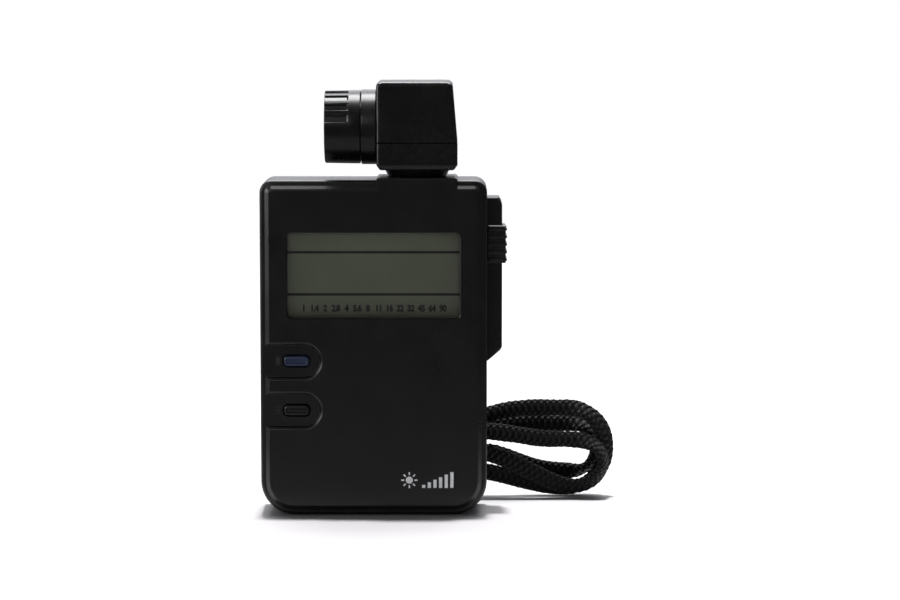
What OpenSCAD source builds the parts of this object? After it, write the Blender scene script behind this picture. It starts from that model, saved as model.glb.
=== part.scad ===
// Pocket digital light meter with a swivelling receptor head, a twist-on lens attachment and a neck strap.
// Millimetres. X points right and Y points back, seen from the display side. Z points up.
// The origin is the middle of the flat base that the case stands on.

/* [Case] */
// Width of the case without the side grip
body_w = 66.2; // [62:0.1:70]
// Height of the case without its neck platform
body_h = 98.2; // [96.5:0.1:98.4]
// Depth of the case, display face to back
body_d = 22; // [21.6:0.1:22]
// Wall thickness of the case shells
wall = 1.6; // [1.4:0.1:1.8]
// Radius of the two top corners
top_r = 3.6; // [3:0.1:5]
// Radius of the two bottom corners
bottom_r = 9.9; // [8:0.1:10.5]
// Height and width of the bevel round the face plate
plate_bevel = 1.2; // [1:0.1:1.3]

/* [Display] */
// Width of the window opening
window_w = 50.3; // [48:0.1:52]
// Height of the window opening
window_h = 24.9; // [22:0.1:25]
// Height of the window's middle above the base
window_z = 70.4; // [69:0.1:71]

/* [Keys and controls] */
// Length of a front key
key_w = 7.4; // [6:0.1:8]
// Height of a front key
key_h = 3.1; // [2.6:0.1:3.4]
// Height of the upper key above the base
upper_key_z = 45.4; // [45:0.1:46]
// Height of the lower key above the base
lower_key_z = 30.9; // [30:0.1:31.4]
// How far a front key travels
key_travel = 0.6; // [0.4:0.1:0.7]
// How far the ribbed mode slide travels
slide_travel = 2.6; // [2:0.1:2.8]

/* [Head] */
// Length of the head along the receptor's axis
head_l = 23.6; // [22:0.1:24]
// Width of the head across the receptor's axis
head_w = 22.6; // [22.4:0.1:23.4]
// Height of the top of the head above the base
head_top = 126.8; // [126:0.1:128]
// Radius of the receptor's mount ring
mount_r = 10.95; // [10.6:0.05:11]

/* [Strap] */
// Width of the braided strap
strap_w = 4.8; // [4.2:0.1:5]
// Thickness of the braided strap
strap_t = 2.6; // [2.2:0.1:2.8]

/* [Hidden] */
$fn = 48;
eps = 0.01;                      // thickness of the sheets that a bevel is hulled from
gap = 0.15;                      // assembly gap between parts that slide or drop in

// Depth stations
front_y = -body_d / 2;           // outer face of the face plate
back_y = body_d / 2;             // outer face of the back
split_y = -3;                    // joint face of the two shells
ledge_y = front_y + plate_bevel; // ledge round the face plate, and the floor of the key bays
face_wall = 2.0;                 // thickness of the face plate
face_in_y = front_y + face_wall; // inside of the face plate
back_in_y = back_y - wall;       // inside of the back
edge_r = 1.0;                    // chamfer round the shells' outer edges

// Neck and swivel
neck_x = 12.7;                   // swivel axis, right of the case's middle
platform_w = 23.6;               // raised platform under the head
platform_top = 98.9;
platform_low = 94;
turret_r = 5.9;                  // neck of the turret
turret_hole_r = 6.0;
flange_r = 7.6;                  // flange that keeps the turret in the case
disc_r = 8.6;                    // disc that shows between the case and the head
disc_top = 101.05;
turret_bore_r = 2.5;
stop_a = 44;                     // angle that the stop lug and its rib each take up, degrees
rib_mid = 30;                    // middle of the rib, degrees from the right

// Head
head_low = 101.1;
seam_z = 109.0;                  // joint of the head's base and cover
seam_gap = 0.1;
axis_z = 113.3;                  // receptor axis
head_front = neck_x - head_l / 2;
head_chamfer = 1.6;              // height of the chamfer round the head's foot
head_screw_x = neck_x + head_l / 2 - 4.2;
head_screw_y = 7.6;
turret_screw_y = 4.1;
head_back = neck_x + head_l / 2;
head_wall = 1.6;
crown = 2.0;                     // height of the sloping edge round the head's top
back_slope = 1.5;                // how far the head's back leans in towards the top
spigot_r = 7.4;
ring_l = 4.55;                   // the mount ring's length out of the head
ring_out = head_front - ring_l;
bayonet_r = 8.4;                 // inside of the mount ring
lug_r = 9.0;
barrel_r1 = 10.6;                // attachment barrel, open end
barrel_r2 = 10.75;               // attachment barrel, ring end
barrel_l = 10.4;
barrel_in = ring_out - 0.2;
barrel_out = barrel_in - barrel_l;
hood_r = 8.1;                    // inside of the hood in front of the lens
flute_a = 11.5;                  // width of a grip flute, degrees
flute_pitch = 19.5;
flute_mid = 42.5;                // middle of the group of flutes, degrees up from the front

// Side grip, with the mode slide and the measuring button
grip_x = 37.65;                  // outer face
grip_y = 0;                      // front face
grip_low = 43.9;
grip_top = 92.6;
knob_z0 = 73.3;
knob_z1 = 84.3;
knob_x = 38.7;
knob_front = -1.0;
slide_x0 = body_w / 2 + 0.15;     // inner edge of the slide, clear of the case
slide_ribs = 5;
rib_pitch = 2.25;
rib_h = 0.8;
rib_proud = 0.35;
stem_z0 = knob_z0 + 4;           // stem that joins the slide to its switch
stem_z1 = knob_z0 + 7;
mode_mid_z = (stem_z0 + stem_z1) / 2;
measure_z = 60;
measure_y = 5.5;
measure_w = 14;
measure_h = 6;
measure_x = 37.45;               // the button's face, level with the grip in its shallow dish
dish_r = 60;
dish_depth = 0.4;

// Key bays
bay_r = 4.6;                     // radius of a bay's round end at its floor
bay_x = -20.3;                   // centre of the round end
key_x = -22.5;
key_zs = [upper_key_z, lower_key_z];
key_r = 1.25;                    // corners of a key
pad_y = -8.0;                    // inside of the thicker wall behind the bays
key_proud = 0.55;                // how far a key stands out of its bay
key_gap = 0.3;
key_foot = 0.9;                  // how far a key's foot stands out round it
key_foot_y = pad_y + 0.35;       // back of the foot

// Electronics
board_front = -4.6;
board_back = -3.4;
board_low = 27.8;
board_top = 88;
board_w = 59;
connector_top = 87.6;            // socket for the sensor's lead
lcd_front = -8.2;
lcd_back = -6.2;
lcd_w = 56;
lcd_h = 31;
screw_spots = [[-27.2, 91.2], [27.2, 91.2], [-25.2, 7.2], [25.2, 7.2]];
board_spots = [[-26, 50.6], [26, 50.6], [0, 31]];
boss_r = 2.6;
boss_end = 1.0;                  // where the front and rear bosses meet
screw_r = 0.98;
pilot_r = 1.0;
head_seat = 8.4;                 // seat of a case screw's head

// Battery
cell_y = 0.6;
cell_z = 19;
cell_r = 7.25;
cell_x0 = -25;
cell_x1 = 24.1;
nub_l = 1.4;
door_z0 = 11;
door_z1 = 27;
door_x1 = 26;
door_in = 8.5;                   // inside face of the door
door_lip = 0.9;                  // how far the door's flange reaches under the back

// Sync socket on the left side
sync_y = 3;
sync_z = 70;
sync_r = 1.75;
sync_l = 4;                      // depth of the bore
sync_body_r = 2.4;
sync_seat_r = 1.25;              // the insulator's radius behind the bore
sync_mouth = -body_w / 2 - 0.1;
sync_floor = sync_mouth + sync_l;
sync_end = sync_mouth + 5.5;
contact_r = 0.5;

// Strap eyelet and fittings
eye_x = 25;
eye_z = 53;
eye_w = 7;
eye_h = 10;
eye_floor = 6.0;
eye_pin_y = 9.0;
eye_pin_r = 0.75;
loop_cord_r = 0.8;
loop_r = 1.75;                   // the thin loop's bend round its pin
loop_bend = 3;                   // its bend down behind the case
loop_out = 4;                    // straight run out of the eyelet
clamp_y = eye_pin_y + loop_out + loop_bend;
clamp_z0 = 40;
clamp_z1 = 48;
clamp_w = 7.2;
clamp_d = 6.8;

// Hank: the strap's turns lean towards the back of the case
hank_lean = 9;
hank_y = 24;                     // the hank's front at the floor
hank_x0 = -29;
hank_x1 = 71.9;
hank_h = 29.8;
hank_d = 9.2;
waist_low = 6.0;                 // the hank's foot and top where the tie pulls it in
waist_top = 24.6;
waist_low_r = 93.8;
waist_top_r = 72.7;
tie_x = 8;
tie_w = 4;
tie_d = 14;
tie_h = 20.4;
tie_mid = [3.25, 15.3];
tie_wall = 0.8;

// Routes of the strap outside the hank: down from the clamp and once round in front of the hank, and at the
// other end up behind the hank and over it to the clamp
front_route = [
    [25, 14.6, 40], [24.9, 14.8, 37], [24, 15.2, 33.5], [21.6, 16.2, 29.8], [17.6, 17.6, 26],
    [12.8, 18.9, 22.7], [8, 19.2, 21.2], [0, 19.3, 20.6], [-8, 19.4, 20], [-14.6, 19.7, 18],
    [-19.2, 20.2, 14.2], [-20.6, 20.8, 9.8], [-18, 21.4, 5.8], [-13, 21.7, 3.9], [-7.4, 21.6, 5],
    [-2, 21.1, 8.6], [3, 20.5, 12.8], [8, 20, 15.6], [14, 20, 16.3], [22, 20, 15.8],
    [30, 20.1, 14.6], [36.5, 20.3, 12.8], [41, 20.6, 11], [47.6, 21, 7.6], [53.8, 21.3, 4.6],
    [58.2, 21.4, 3.4], [62.4, 21.2, 3.7], [66.2, 20.8, 5.8], [68.4, 20.4, 8.8], [68.8, 20, 12.2],
    [67.3, 19.8, 15.2], [63.8, 19.7, 17.3], [58.2, 19.7, 18], [50.1, 19.7, 18.2], [44.8, 19.6, 19],
    [38.5, 19.5, 20], [32, 19.5, 20.6], [25, 20, 21], [18, 20.9, 21.2], [12, 21.7, 21.4]
];
lead_route = [
    [13, 31.8, 9.4], [17.4, 32.4, 13], [21, 32.1, 17.6], [23.6, 31.5, 22.6], [24.8, 30.3, 27.4],
    [25, 27.6, 31], [25, 24, 33.6], [25, 20.6, 36.2], [25, 18.3, 38.4], [25, 17.6, 40]
];

// ---------------------------------------------------------------- helpers

// Extrudes a shape drawn in X and Z along Y
module along_y(y0, y1) translate([0, y1, 0]) rotate([90, 0, 0]) linear_extrude(height = y1 - y0) children();

// Extrudes a shape drawn in Y and Z along X
module along_x(x0, x1) translate([x0, 0, 0]) rotate([90, 0, 90]) linear_extrude(height = x1 - x0) children();

module rod_x(r, x0, x1, y, z, r2 = undef) {
    translate([x0, y, z]) rotate([0, 90, 0]) cylinder(h = x1 - x0, r1 = r, r2 = is_undef(r2) ? r : r2);
}

module rod_y(r, y0, y1, x, z, r2 = undef) {
    translate([x, y0, z]) rotate([-90, 0, 0]) cylinder(h = y1 - y0, r1 = r, r2 = is_undef(r2) ? r : r2);
}

module rod_z(r, z0, z1, x, y) translate([x, y, z0]) cylinder(h = z1 - z0, r = r);

module box(lo, hi) translate(lo) cube(hi - lo);

// Rectangle with round corners, centred
module round_rect(w, h, r) {
    square([w - 2 * r, h], center = true);
    square([w, h - 2 * r], center = true);
    for (x = [-1, 1], y = [-1, 1]) translate([x * (w / 2 - r), y * (h / 2 - r)]) circle(r);
}

// Front view of the case: small corners at the top, large ones at the bottom
module outline(inset = 0) {
    half = body_w / 2 - inset;
    rt = max(top_r - inset, 1.3);
    rb = bottom_r - inset;
    translate([-half, inset + rb]) square([2 * half, body_h - 2 * inset - rb - rt]);
    translate([-half + rb, inset]) square([2 * (half - rb), rb + 1]);
    translate([-half + rt, body_h - inset - rt - 1]) square([2 * (half - rt), rt + 1]);
    for (s = [-1, 1]) {
        translate([s * (half - rb), inset + rb]) circle(rb);
        translate([s * (half - rt), body_h - inset - rt]) circle(rt);
    }
}

// A slab of the case's outline whose edge slopes from one inset to another
module bevelled(y0, inset0, y1, inset1) {
    hull() {
        along_y(y0, y0 + eps) outline(inset0, $fn = 32);
        along_y(y1 - eps, y1) outline(inset1, $fn = 32);
    }
}

// Sweeps a flat oval section along points: rings stand square to the route, wide side in the route's plane
function unit(v) = v / norm(v);
function heading(p, i) = unit(p[min(i + 1, len(p) - 1)] - p[max(i - 1, 0)]);
function flat_side(t) = unit([0, 1, 0] - t.y * t);
function oval_ring(p, i, half_w, half_t, sides) = let (t = heading(p, i), n = flat_side(t), w = cross(t, n))
    [for (k = [0 : sides - 1]) p[i] + half_w * cos(360 * k / sides) * w + half_t * sin(360 * k / sides) * n];

module sweep(rings) {
    sides = len(rings[0]);
    last = len(rings) - 1;
    polyhedron(
        points = [for (r = rings) each r],
        faces = concat(
            [[for (k = [0 : sides - 1]) k]],
            [for (a = [0 : sides : (last - 1) * sides], k = [0 : sides - 1]) let (next = (k + 1) % sides)
                [a + k, a + sides + k, a + sides + next, a + next]],
            [[for (k = [sides - 1 : -1 : 0]) last * sides + k]]
        ),
        convexity = 8
    );
}

module strap_tube(route) {
    sweep([for (i = [0 : len(route) - 1]) oval_ring(route, i, strap_w / 2, strap_t / 2, 8)]);
}

// ---------------------------------------------------------------- case

module key_shape(extra = 0) round_rect(key_w + 2 * extra, key_h + 2 * extra, key_r + extra);

// One of the two bays that the front keys sit in, open to the left
module key_bay(z) {
    rise = ledge_y - front_y + 0.2;
    rod_y(bay_r + rise, front_y - 0.2, ledge_y, bay_x, z, r2 = bay_r);
    along_x(-body_w / 2 - 1, bay_x) translate([0, z]) polygon([
        [front_y - 0.2, -bay_r - rise], [ledge_y, -bay_r], [ledge_y, bay_r], [front_y - 0.2, bay_r + rise]
    ]);
}

module turret_opening() rod_z(turret_hole_r, platform_low - 1, platform_top + 1, neck_x, 0);

module platform(y0, y1) {
    box([neck_x - platform_w / 2, y0, platform_low], [neck_x + platform_w / 2, y1, platform_top]);
}

module front_cover() color([0.09, 0.09, 0.1]) {
    difference() {
        union() {
            along_y(ledge_y + edge_r, split_y) outline();
            bevelled(ledge_y, edge_r, ledge_y + edge_r, 0);
            bevelled(front_y, 1.5 + plate_bevel, ledge_y + 0.4, 1.5 - 0.4);
            platform(front_y, split_y);
        }
        difference() {
            along_y(face_in_y, split_y + 1) outline(wall);
            box([-body_w / 2, face_in_y - 1, lower_key_z - 7], [-13, pad_y, upper_key_z + 7]);
        }
        along_y(front_y - 1, face_in_y + 1) translate([0, window_z]) round_rect(window_w, window_h, 1.2);
        for (z = key_zs) {
            key_bay(z);
            along_y(front_y, pad_y + 1) translate([key_x, z]) key_shape(key_gap);
        }
        turret_opening();
    }
    for (p = screw_spots) boss(p, face_in_y - 0.2, boss_end, -6);
    for (p = board_spots) boss(p, face_in_y - 0.2, board_front, -8, r = 1.9, hole = 0.75);
    for (x = [-14, 14]) cradle(x);
}

// Post with a blind screw hole
module boss(p, y0, y1, hole_from, r = boss_r, hole = pilot_r) {
    difference() {
        rod_y(r, y0, y1, p.x, p.y);
        rod_y(hole, hole_from, y1 + 1, p.x, p.y);
    }
}

// Rib that the battery lies in
module cradle(x) {
    difference() {
        box([x - 0.6, face_in_y - 0.2, cell_z - 8.2], [x + 0.6, boss_end, cell_z + 8.2]);
        rod_x(cell_r + gap, x - 1, x + 1, cell_y, cell_z);
    }
}

module grip_shape(inset = 0) {
    x1 = grip_x - inset;
    z0 = grip_low + inset;
    z1 = grip_top - inset;
    polygon([[30, z0 - 0.7], [33, z0 + 0.1], [x1, z0 + 4.1], [x1, z1 - 2], [x1 - 0.75, z1], [30, z1]]);
}

module rear_outer() {
    along_y(split_y, back_y - edge_r) outline();
    bevelled(back_y - edge_r, 0, back_y, edge_r);
    along_y(grip_y, back_y - edge_r) grip_shape();
    hull() {
        along_y(back_y - edge_r - eps, back_y - edge_r) grip_shape();
        along_y(back_y - eps, back_y) grip_shape(edge_r);
    }
    platform(split_y, back_y - 1);
}

module door_window(clear) {
    box([-body_w / 2 - 1, back_in_y - 0.6, door_z0 - clear], [door_x1 + clear, back_y + 1, door_z1 + clear]);
    box([-body_w / 2 - 1, door_in - clear, door_z0 - door_lip - clear],
        [door_x1 + 2 + clear, back_in_y - 0.15 + clear, door_z1 + door_lip + clear]);
}

module measure_shape(extra = 0) {
    translate([measure_y, measure_z]) {
        round_rect(measure_h + 2 * extra, measure_w + 2 * extra, measure_h / 2 + extra - eps);
    }
}

module rear_cover() color([0.08, 0.08, 0.09]) {
    difference() {
        union() {
            difference() {
                rear_outer();
                along_y(split_y - 1, back_in_y) outline(wall);
                along_y(grip_y + wall, back_in_y) intersection() {
                    grip_shape(wall);
                    translate([29, 0]) square([20, body_h]);
                }
            }
            // eyelet well
            box([eye_x - eye_w / 2 - 1.2, eye_floor - 1.2, eye_z - eye_h / 2 - 1.2],
                [eye_x + eye_w / 2 + 1.2, back_in_y + 0.5, eye_z + eye_h / 2 + 1.2]);
            for (p = screw_spots) rod_y(boss_r + 0.2, boss_end + 0.05, back_in_y + 0.5, p.x, p.y);
            rod_x(3.6, -body_w / 2 + 0.5, -body_w / 2 + 3, sync_y, sync_z);
            stop_rib();
        }
        box([eye_x - eye_w / 2, eye_floor, eye_z - eye_h / 2],
            [eye_x + eye_w / 2, back_y + 1, eye_z + eye_h / 2]);
        rod_z(eye_pin_r + 0.02, eye_z - eye_h / 2 - 1, eye_z + eye_h / 2 + 1, eye_x, eye_pin_y);
        for (p = screw_spots) {
            rod_y(pilot_r + 0.1, 0, back_y, p.x, p.y);
            rod_y(2.1, head_seat, back_y + 1, p.x, p.y);
        }
        rod_x(sync_body_r + 0.05, sync_mouth - 1, sync_mouth + 4, sync_y, sync_z);
        door_window(gap);
        // slot for the mode slide's stem, and the measuring button's hole in its shallow dish
        box([grip_x - wall - 1, 1.8, stem_z0 - slide_travel - gap], [grip_x + 1, 4.2, stem_z1 + gap]);
        along_x(grip_x - wall - 1, grip_x + 1) measure_shape(gap);
        translate([grip_x + dish_r - dish_depth, measure_y, measure_z]) rotate([90, 0, 0]) {
            cylinder(h = 9, r = dish_r, center = true, $fn = 200);
        }
        turret_opening();
    }
}

// Rib inside the case that ends the head's turn at both ends
module stop_rib() sector_z(flange_r + 0.25, 9.6, platform_low - 1.4, body_h - wall + 0.2, rib_mid);

// Part of a ring round the swivel's axis
module sector_z(r0, r1, z0, z1, mid) {
    translate([neck_x, 0, z0]) rotate(mid - stop_a / 2) {
        rotate_extrude(angle = stop_a) translate([r0, 0]) square([r1 - r0, z1 - z0]);
    }
}

module display_window() color([0.75, 0.8, 0.78, 0.35]) {
    along_y(front_y + 0.35, face_in_y + 0.05) translate([0, window_z]) {
        round_rect(window_w - 0.1, window_h - 0.1, 1.15);
    }
    along_y(face_in_y, face_in_y + 0.7) translate([0, window_z]) {
        square([window_w + 3, window_h + 3], center = true);
    }
}

module lcd_panel() color([0.42, 0.45, 0.36]) {
    box([-lcd_w / 2, lcd_front, window_z - lcd_h / 2], [lcd_w / 2, lcd_front + 1.05, window_z + lcd_h / 2]);
    box([-lcd_w / 2, lcd_front + 1.05, window_z - lcd_h / 2 + 2.4],
        [lcd_w / 2, lcd_back, window_z + lcd_h / 2]);
}

module lcd_frame() color([0.85, 0.85, 0.82]) {
    along_y(lcd_front + 0.2, board_front - 0.02) translate([0, window_z]) {
        difference() {
            square([lcd_w + 2.6, lcd_h + 2.6], center = true);
            square([lcd_w + 0.2, lcd_h + 0.2], center = true);
        }
    }
}

module lcd_connectors() color([0.35, 0.2, 0.22]) {
    box([-25, lcd_front + 1.1, window_z - lcd_h / 2 + 0.2],
        [25, board_front - 0.02, window_z - lcd_h / 2 + 2.1]);
    box([-25, lcd_back + 0.02, window_z + lcd_h / 2 - 2.2],
        [25, board_front - 0.02, window_z + lcd_h / 2 - 0.2]);
}

module main_board() color([0.1, 0.34, 0.2]) {
    difference() {
        box([-board_w / 2, board_front, board_low], [board_w / 2, board_back, board_top]);
        for (p = board_spots) rod_y(0.85, board_front - 1, board_back + 1, p.x, p.y);
    }
}

module board_components() color([0.07, 0.07, 0.07]) {
    // processor, converter and memory chips, then a crystal, capacitors and a row of resistors
    box([-11, board_back + 0.01, 60], [3, board_back + 2.1, 74]);
    box([8, board_back + 0.01, 64], [16, board_back + 1.8, 69]);
    box([8, board_back + 0.01, 54], [16, board_back + 1.8, 59]);
    rod_y(1.5, board_back + 0.01, board_back + 6, -18, 64);
    rod_y(2.5, board_back + 0.01, board_back + 6.5, -20, 80);
    rod_y(2.5, board_back + 0.01, board_back + 6.5, -12, 82);
    rod_z(2.2, 38, 44, 12, board_back + 2.22);
    for (k = [0 : 5]) box([-11 + 2.6 * k, board_back + 0.01, 53], [-9.8 + 2.6 * k, board_back + 0.7, 55.2]);
}

module sensor_connector() color([0.85, 0.85, 0.8]) {
    box([neck_x - 2.4, board_back + 0.01, connector_top - 4.5], [neck_x + 2.4, 1.6, connector_top]);
}

module key_switches() color([0.75, 0.75, 0.78]) {
    switch_y = board_front - 2;
    for (z = key_zs) {
        box([key_x - 3, switch_y, z - 2.6], [key_x + 3, board_front - 0.01, z + 2.6]);
        rod_y(1.2, key_foot_y + key_travel + 0.05, switch_y, key_x, z);
    }
}

module measure_switch() color([0.15, 0.15, 0.16]) {
    box([24.5, board_back + 0.01, measure_z - 3.2], [29.6, board_back + 8, measure_z + 3.2]);
    rod_x(1.1, 29.6, 30.9, 3, measure_z);
}

module mode_switch() color([0.78, 0.78, 0.8]) {
    difference() {
        box([24, board_back + 0.01, mode_mid_z - 6.2], [29.4, board_back + 7.4, mode_mid_z + 3.6]);
        box([26, 1.6, mode_mid_z - slide_travel - 1.9], [30, 3.4, mode_mid_z + 1.2]);
    }
}

module mode_switch_lever() color([0.06, 0.06, 0.06]) {
    box([26.2, 1.8, mode_mid_z - 1], [31.6, 3.2, mode_mid_z + 1]);
}

module board_screws() color([0.7, 0.7, 0.72]) {
    for (p = board_spots) {
        rod_y(0.72, -7.6, board_back, p.x, p.y);
        rod_y(1.5, board_back, board_back + 0.9, p.x, p.y);
    }
}

module case_screws() color([0.15, 0.15, 0.16]) {
    for (p = screw_spots) {
        rod_y(screw_r, -4.5, head_seat + 0.1, p.x, p.y);
        difference() {
            rod_y(1.95, head_seat + 0.01, head_seat + 1.5, p.x, p.y);
            cross_slot(p.x, head_seat + 1.5, p.y);
        }
    }
}

// Cross slot in a screw head that faces back
module cross_slot(x, y, z, size = 1.1) {
    box([x - size, y - 0.8, z - 0.22], [x + size, y + 0.2, z + 0.22]);
    box([x - 0.22, y - 0.8, z - size], [x + 0.22, y + 0.2, z + size]);
}

module sync_socket() color([0.8, 0.8, 0.8]) {
    difference() {
        rod_x(sync_body_r, sync_mouth, sync_end, sync_y, sync_z);
        rod_x(sync_r, sync_mouth - 1, sync_floor, sync_y, sync_z);
        rod_x(sync_seat_r, sync_floor - 0.1, sync_end + 1, sync_y, sync_z);
    }
}

module sync_insulator() color([0.9, 0.9, 0.86]) {
    difference() {
        rod_x(sync_seat_r - 0.01, sync_floor, sync_end, sync_y, sync_z);
        rod_x(contact_r + 0.02, sync_floor - 1, sync_end + 1, sync_y, sync_z);
    }
}

module sync_contact() color([0.85, 0.7, 0.35]) {
    rod_x(contact_r, sync_floor, sync_end + 1.6, sync_y, sync_z);
}

module battery_cell() color([0.35, 0.36, 0.4]) {
    rod_x(cell_r, cell_x0, cell_x1, cell_y, cell_z);
    rod_x(2.6, cell_x1, cell_x1 + nub_l, cell_y, cell_z);
}

// Conical spring behind the cell: u runs from 0 at its seat to 1 at the cell
spring_turns = 3.5;
spring_steps = 42;
spring_wire = 0.35;
function spring_point(u) = let (a = 360 * spring_turns * u, r = 4.6 - 1.8 * u)
    [cell_x0 - 4.1 + 3.65 * u, cell_y + r * cos(a), cell_z + r * sin(a)];
function spring_ring(i, sides) = let (
        u = i / spring_steps,
        t = unit(spring_point(u + 0.001) - spring_point(u - 0.001)),
        n = unit([1, 0, 0] - t.x * t),
        b = cross(t, n)
    ) [for (k = [0 : sides - 1]) let (a = 360 * k / sides)
        spring_point(u) + spring_wire * (cos(a) * b + sin(a) * n)];

module battery_spring() color([0.75, 0.75, 0.76]) {
    sweep([for (i = [0 : spring_steps]) spring_ring(i, 6)]);
}

module battery_contacts() color([0.78, 0.76, 0.7]) {
    box([cell_x0 - 4.95, cell_y - 6, cell_z - 6], [cell_x0 - 4.5, cell_y + 6, cell_z + 6]);
    box([cell_x1 + nub_l + 0.02, cell_y - 6, cell_z - 6], [cell_x1 + nub_l + 0.5, cell_y + 6, cell_z + 6]);
}

module battery_door() color([0.08, 0.08, 0.09]) {
    intersection() {
        union() {
            along_y(split_y, back_y - edge_r) outline();
            bevelled(back_y - edge_r, 0, back_y, edge_r);
        }
        box([-body_w / 2 - 1, door_in, door_z0], [door_x1, back_y + 1, door_z1]);
    }
    box([-body_w / 2 + wall + 0.2, door_in, door_z0 - door_lip],
        [door_x1 + 1.9, back_in_y - 0.15, door_z1 + door_lip]);
    for (k = [0 : 4]) box([-26 + 2 * k, back_y - 0.2, door_z0 + 3], [-25 + 2 * k, back_y + 0.3, door_z1 - 3]);
}

// ---------------------------------------------------------------- keys and slides

// A front key: cap through the face, and a wider foot that keeps it in
module front_key(z) {
    along_y(ledge_y - key_proud, pad_y + 0.25) translate([key_x, z]) key_shape();
    along_y(pad_y + 0.02, key_foot_y) translate([key_x, z]) key_shape(key_foot);
}

module iso_key() color([0.16, 0.26, 0.42]) front_key(upper_key_z);

module mode_key() color([0.07, 0.07, 0.075]) {
    difference() {
        front_key(lower_key_z);
        rod_x(20, key_x - key_w / 2 + 0.9, key_x + key_w / 2 - 0.9, ledge_y - key_proud - 19.7, lower_key_z);
    }
}

module mode_slide() color([0.07, 0.07, 0.075]) {
    // leg over the grip's front, leg over its side, and the stem through the slot
    box([slide_x0, knob_front, knob_z0], [knob_x, grip_y - 0.06, knob_z1]);
    box([grip_x + 0.06, knob_front, knob_z0], [knob_x, 9.4, knob_z1]);
    for (k = [0 : slide_ribs - 1]) {
        z = knob_z0 + 0.6 + rib_pitch * k;
        box([slide_x0 + 0.35, knob_front - rib_proud, z], [knob_x, knob_front + 0.1, z + rib_h]);
        box([knob_x - 0.1, knob_front - rib_proud, z], [knob_x + rib_proud, 9.0, z + rib_h]);
    }
    difference() {
        box([31.0, 2.0, stem_z0], [grip_x + 0.2, 4.0, stem_z1]);
        box([30.5, 1.5, mode_mid_z - 1.05], [31.75, 3.25, mode_mid_z + 1.05]);
    }
}

module measure_button() color([0.07, 0.07, 0.075]) {
    along_x(grip_x - wall - 0.5, measure_x) measure_shape();
    along_x(grip_x - wall - 0.8, grip_x - wall - 0.05) measure_shape(0.9);
    box([31.7, 1.9, measure_z - 1.2], [grip_x - wall - 0.7, 5, measure_z + 1.2]);
}

// ---------------------------------------------------------------- swivel

module friction_washer() color([0.7, 0.68, 0.6]) {
    difference() {
        rod_z(flange_r, 96.22, 96.58, neck_x, 0);
        rod_z(turret_hole_r, 96, 97, neck_x, 0);
    }
}

module swivel_turret() color([0.08, 0.08, 0.085]) {
    difference() {
        union() {
            rod_z(disc_r, platform_top + 0.05, disc_top, neck_x, 0);
            rod_z(turret_r, 95, platform_top + 0.1, neck_x, 0);
            rod_z(flange_r, 94.2, 96.2, neck_x, 0);
            stop_lug();
        }
        rod_z(turret_bore_r, 90, 110, neck_x, 0);
        for (s = [-1, 1]) rod_z(0.7, 97, 110, neck_x, turret_screw_y * s);
    }
}

// The rib stops the lug after 90 degrees one way and 180 degrees the other
module stop_lug() sector_z(flange_r - 1, 8.7, 93.2, 94.6, rib_mid - 90 - stop_a - 1);

module turret_screws() color([0.7, 0.7, 0.72]) {
    for (s = [-1, 1]) {
        rod_z(0.68, 97.2, 102.8, neck_x, turret_screw_y * s);
        rod_z(1.4, 102.75, 103.6, neck_x, turret_screw_y * s);
    }
}

// ---------------------------------------------------------------- head

// Side view of the head, drawn in X and Z: its back leans in above the seam
function back_x(z) = head_back - back_slope * max(z - seam_z, 0) / (head_top - seam_z);

module head_side(inset, z0, z1) {
    x0 = head_front + inset;
    polygon([[x0, z0], [back_x(z0) - inset, z0], [back_x(z1) - inset, z1], [x0, z1]]);
}

module head_block(inset, z0, z1) {
    along_y(-head_w / 2 + inset, head_w / 2 - inset) head_side(inset, z0, z1);
}

module head_base() color([0.08, 0.08, 0.085]) {
    difference() {
        union() {
            head_block(0, head_low + head_chamfer, seam_z - seam_gap / 2);
            hull() {
                head_block(0, head_low + head_chamfer, head_low + head_chamfer + eps);
                head_block(1.2, head_low, head_low + eps);
            }
        }
        head_block(head_wall, head_low + head_chamfer, seam_z + 1);
        receptor_hole();
        rod_z(turret_bore_r, 100, 104, neck_x, 0);
        for (s = [-1, 1]) {
            rod_z(0.8, 100, 104, neck_x, turret_screw_y * s);
            rod_z(1.0, 100, 104, head_screw_x, head_screw_y * s);
            rod_z(1.8, 100, head_low + 0.8, head_screw_x, head_screw_y * s);
        }
    }
}

module receptor_hole() rod_x(spigot_r + 0.1, head_front - 1, head_front + 6, 0, axis_z);

module head_cover() color([0.08, 0.08, 0.085]) {
    difference() {
        union() {
            head_block(0, seam_z + seam_gap / 2, head_top - crown);
            hull() {
                head_block(0, head_top - crown - eps, head_top - crown);
                head_block(crown * 0.85, head_top - eps, head_top);
            }
        }
        head_block(head_wall, seam_z - 1, head_top - crown);
        receptor_hole();
    }
    for (s = [-1, 1]) {
        difference() {
            rod_z(1.9, head_low + head_chamfer + 0.02, head_top - 1.5, head_screw_x, head_screw_y * s);
            rod_z(0.8, head_low, head_low + 9, head_screw_x, head_screw_y * s);
        }
    }
}

module head_screws() color([0.15, 0.15, 0.16]) {
    for (s = [-1, 1]) {
        rod_z(0.78, head_low + 0.5, head_low + 7, head_screw_x, head_screw_y * s);
        rod_z(1.7, head_low + 0.05, head_low + 0.78, head_screw_x, head_screw_y * s);
    }
}

// Wedge of a ring round the receptor's axis; angles are degrees up from the front
module ring_sector(r0, r1, x0, x1, mid, width) {
    translate([x0, 0, axis_z]) rotate([0, 90, 0]) rotate(90 - mid + 180 - width / 2) {
        rotate_extrude(angle = width) translate([r0, 0]) square([r1 - r0, x1 - x0]);
    }
}

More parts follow.
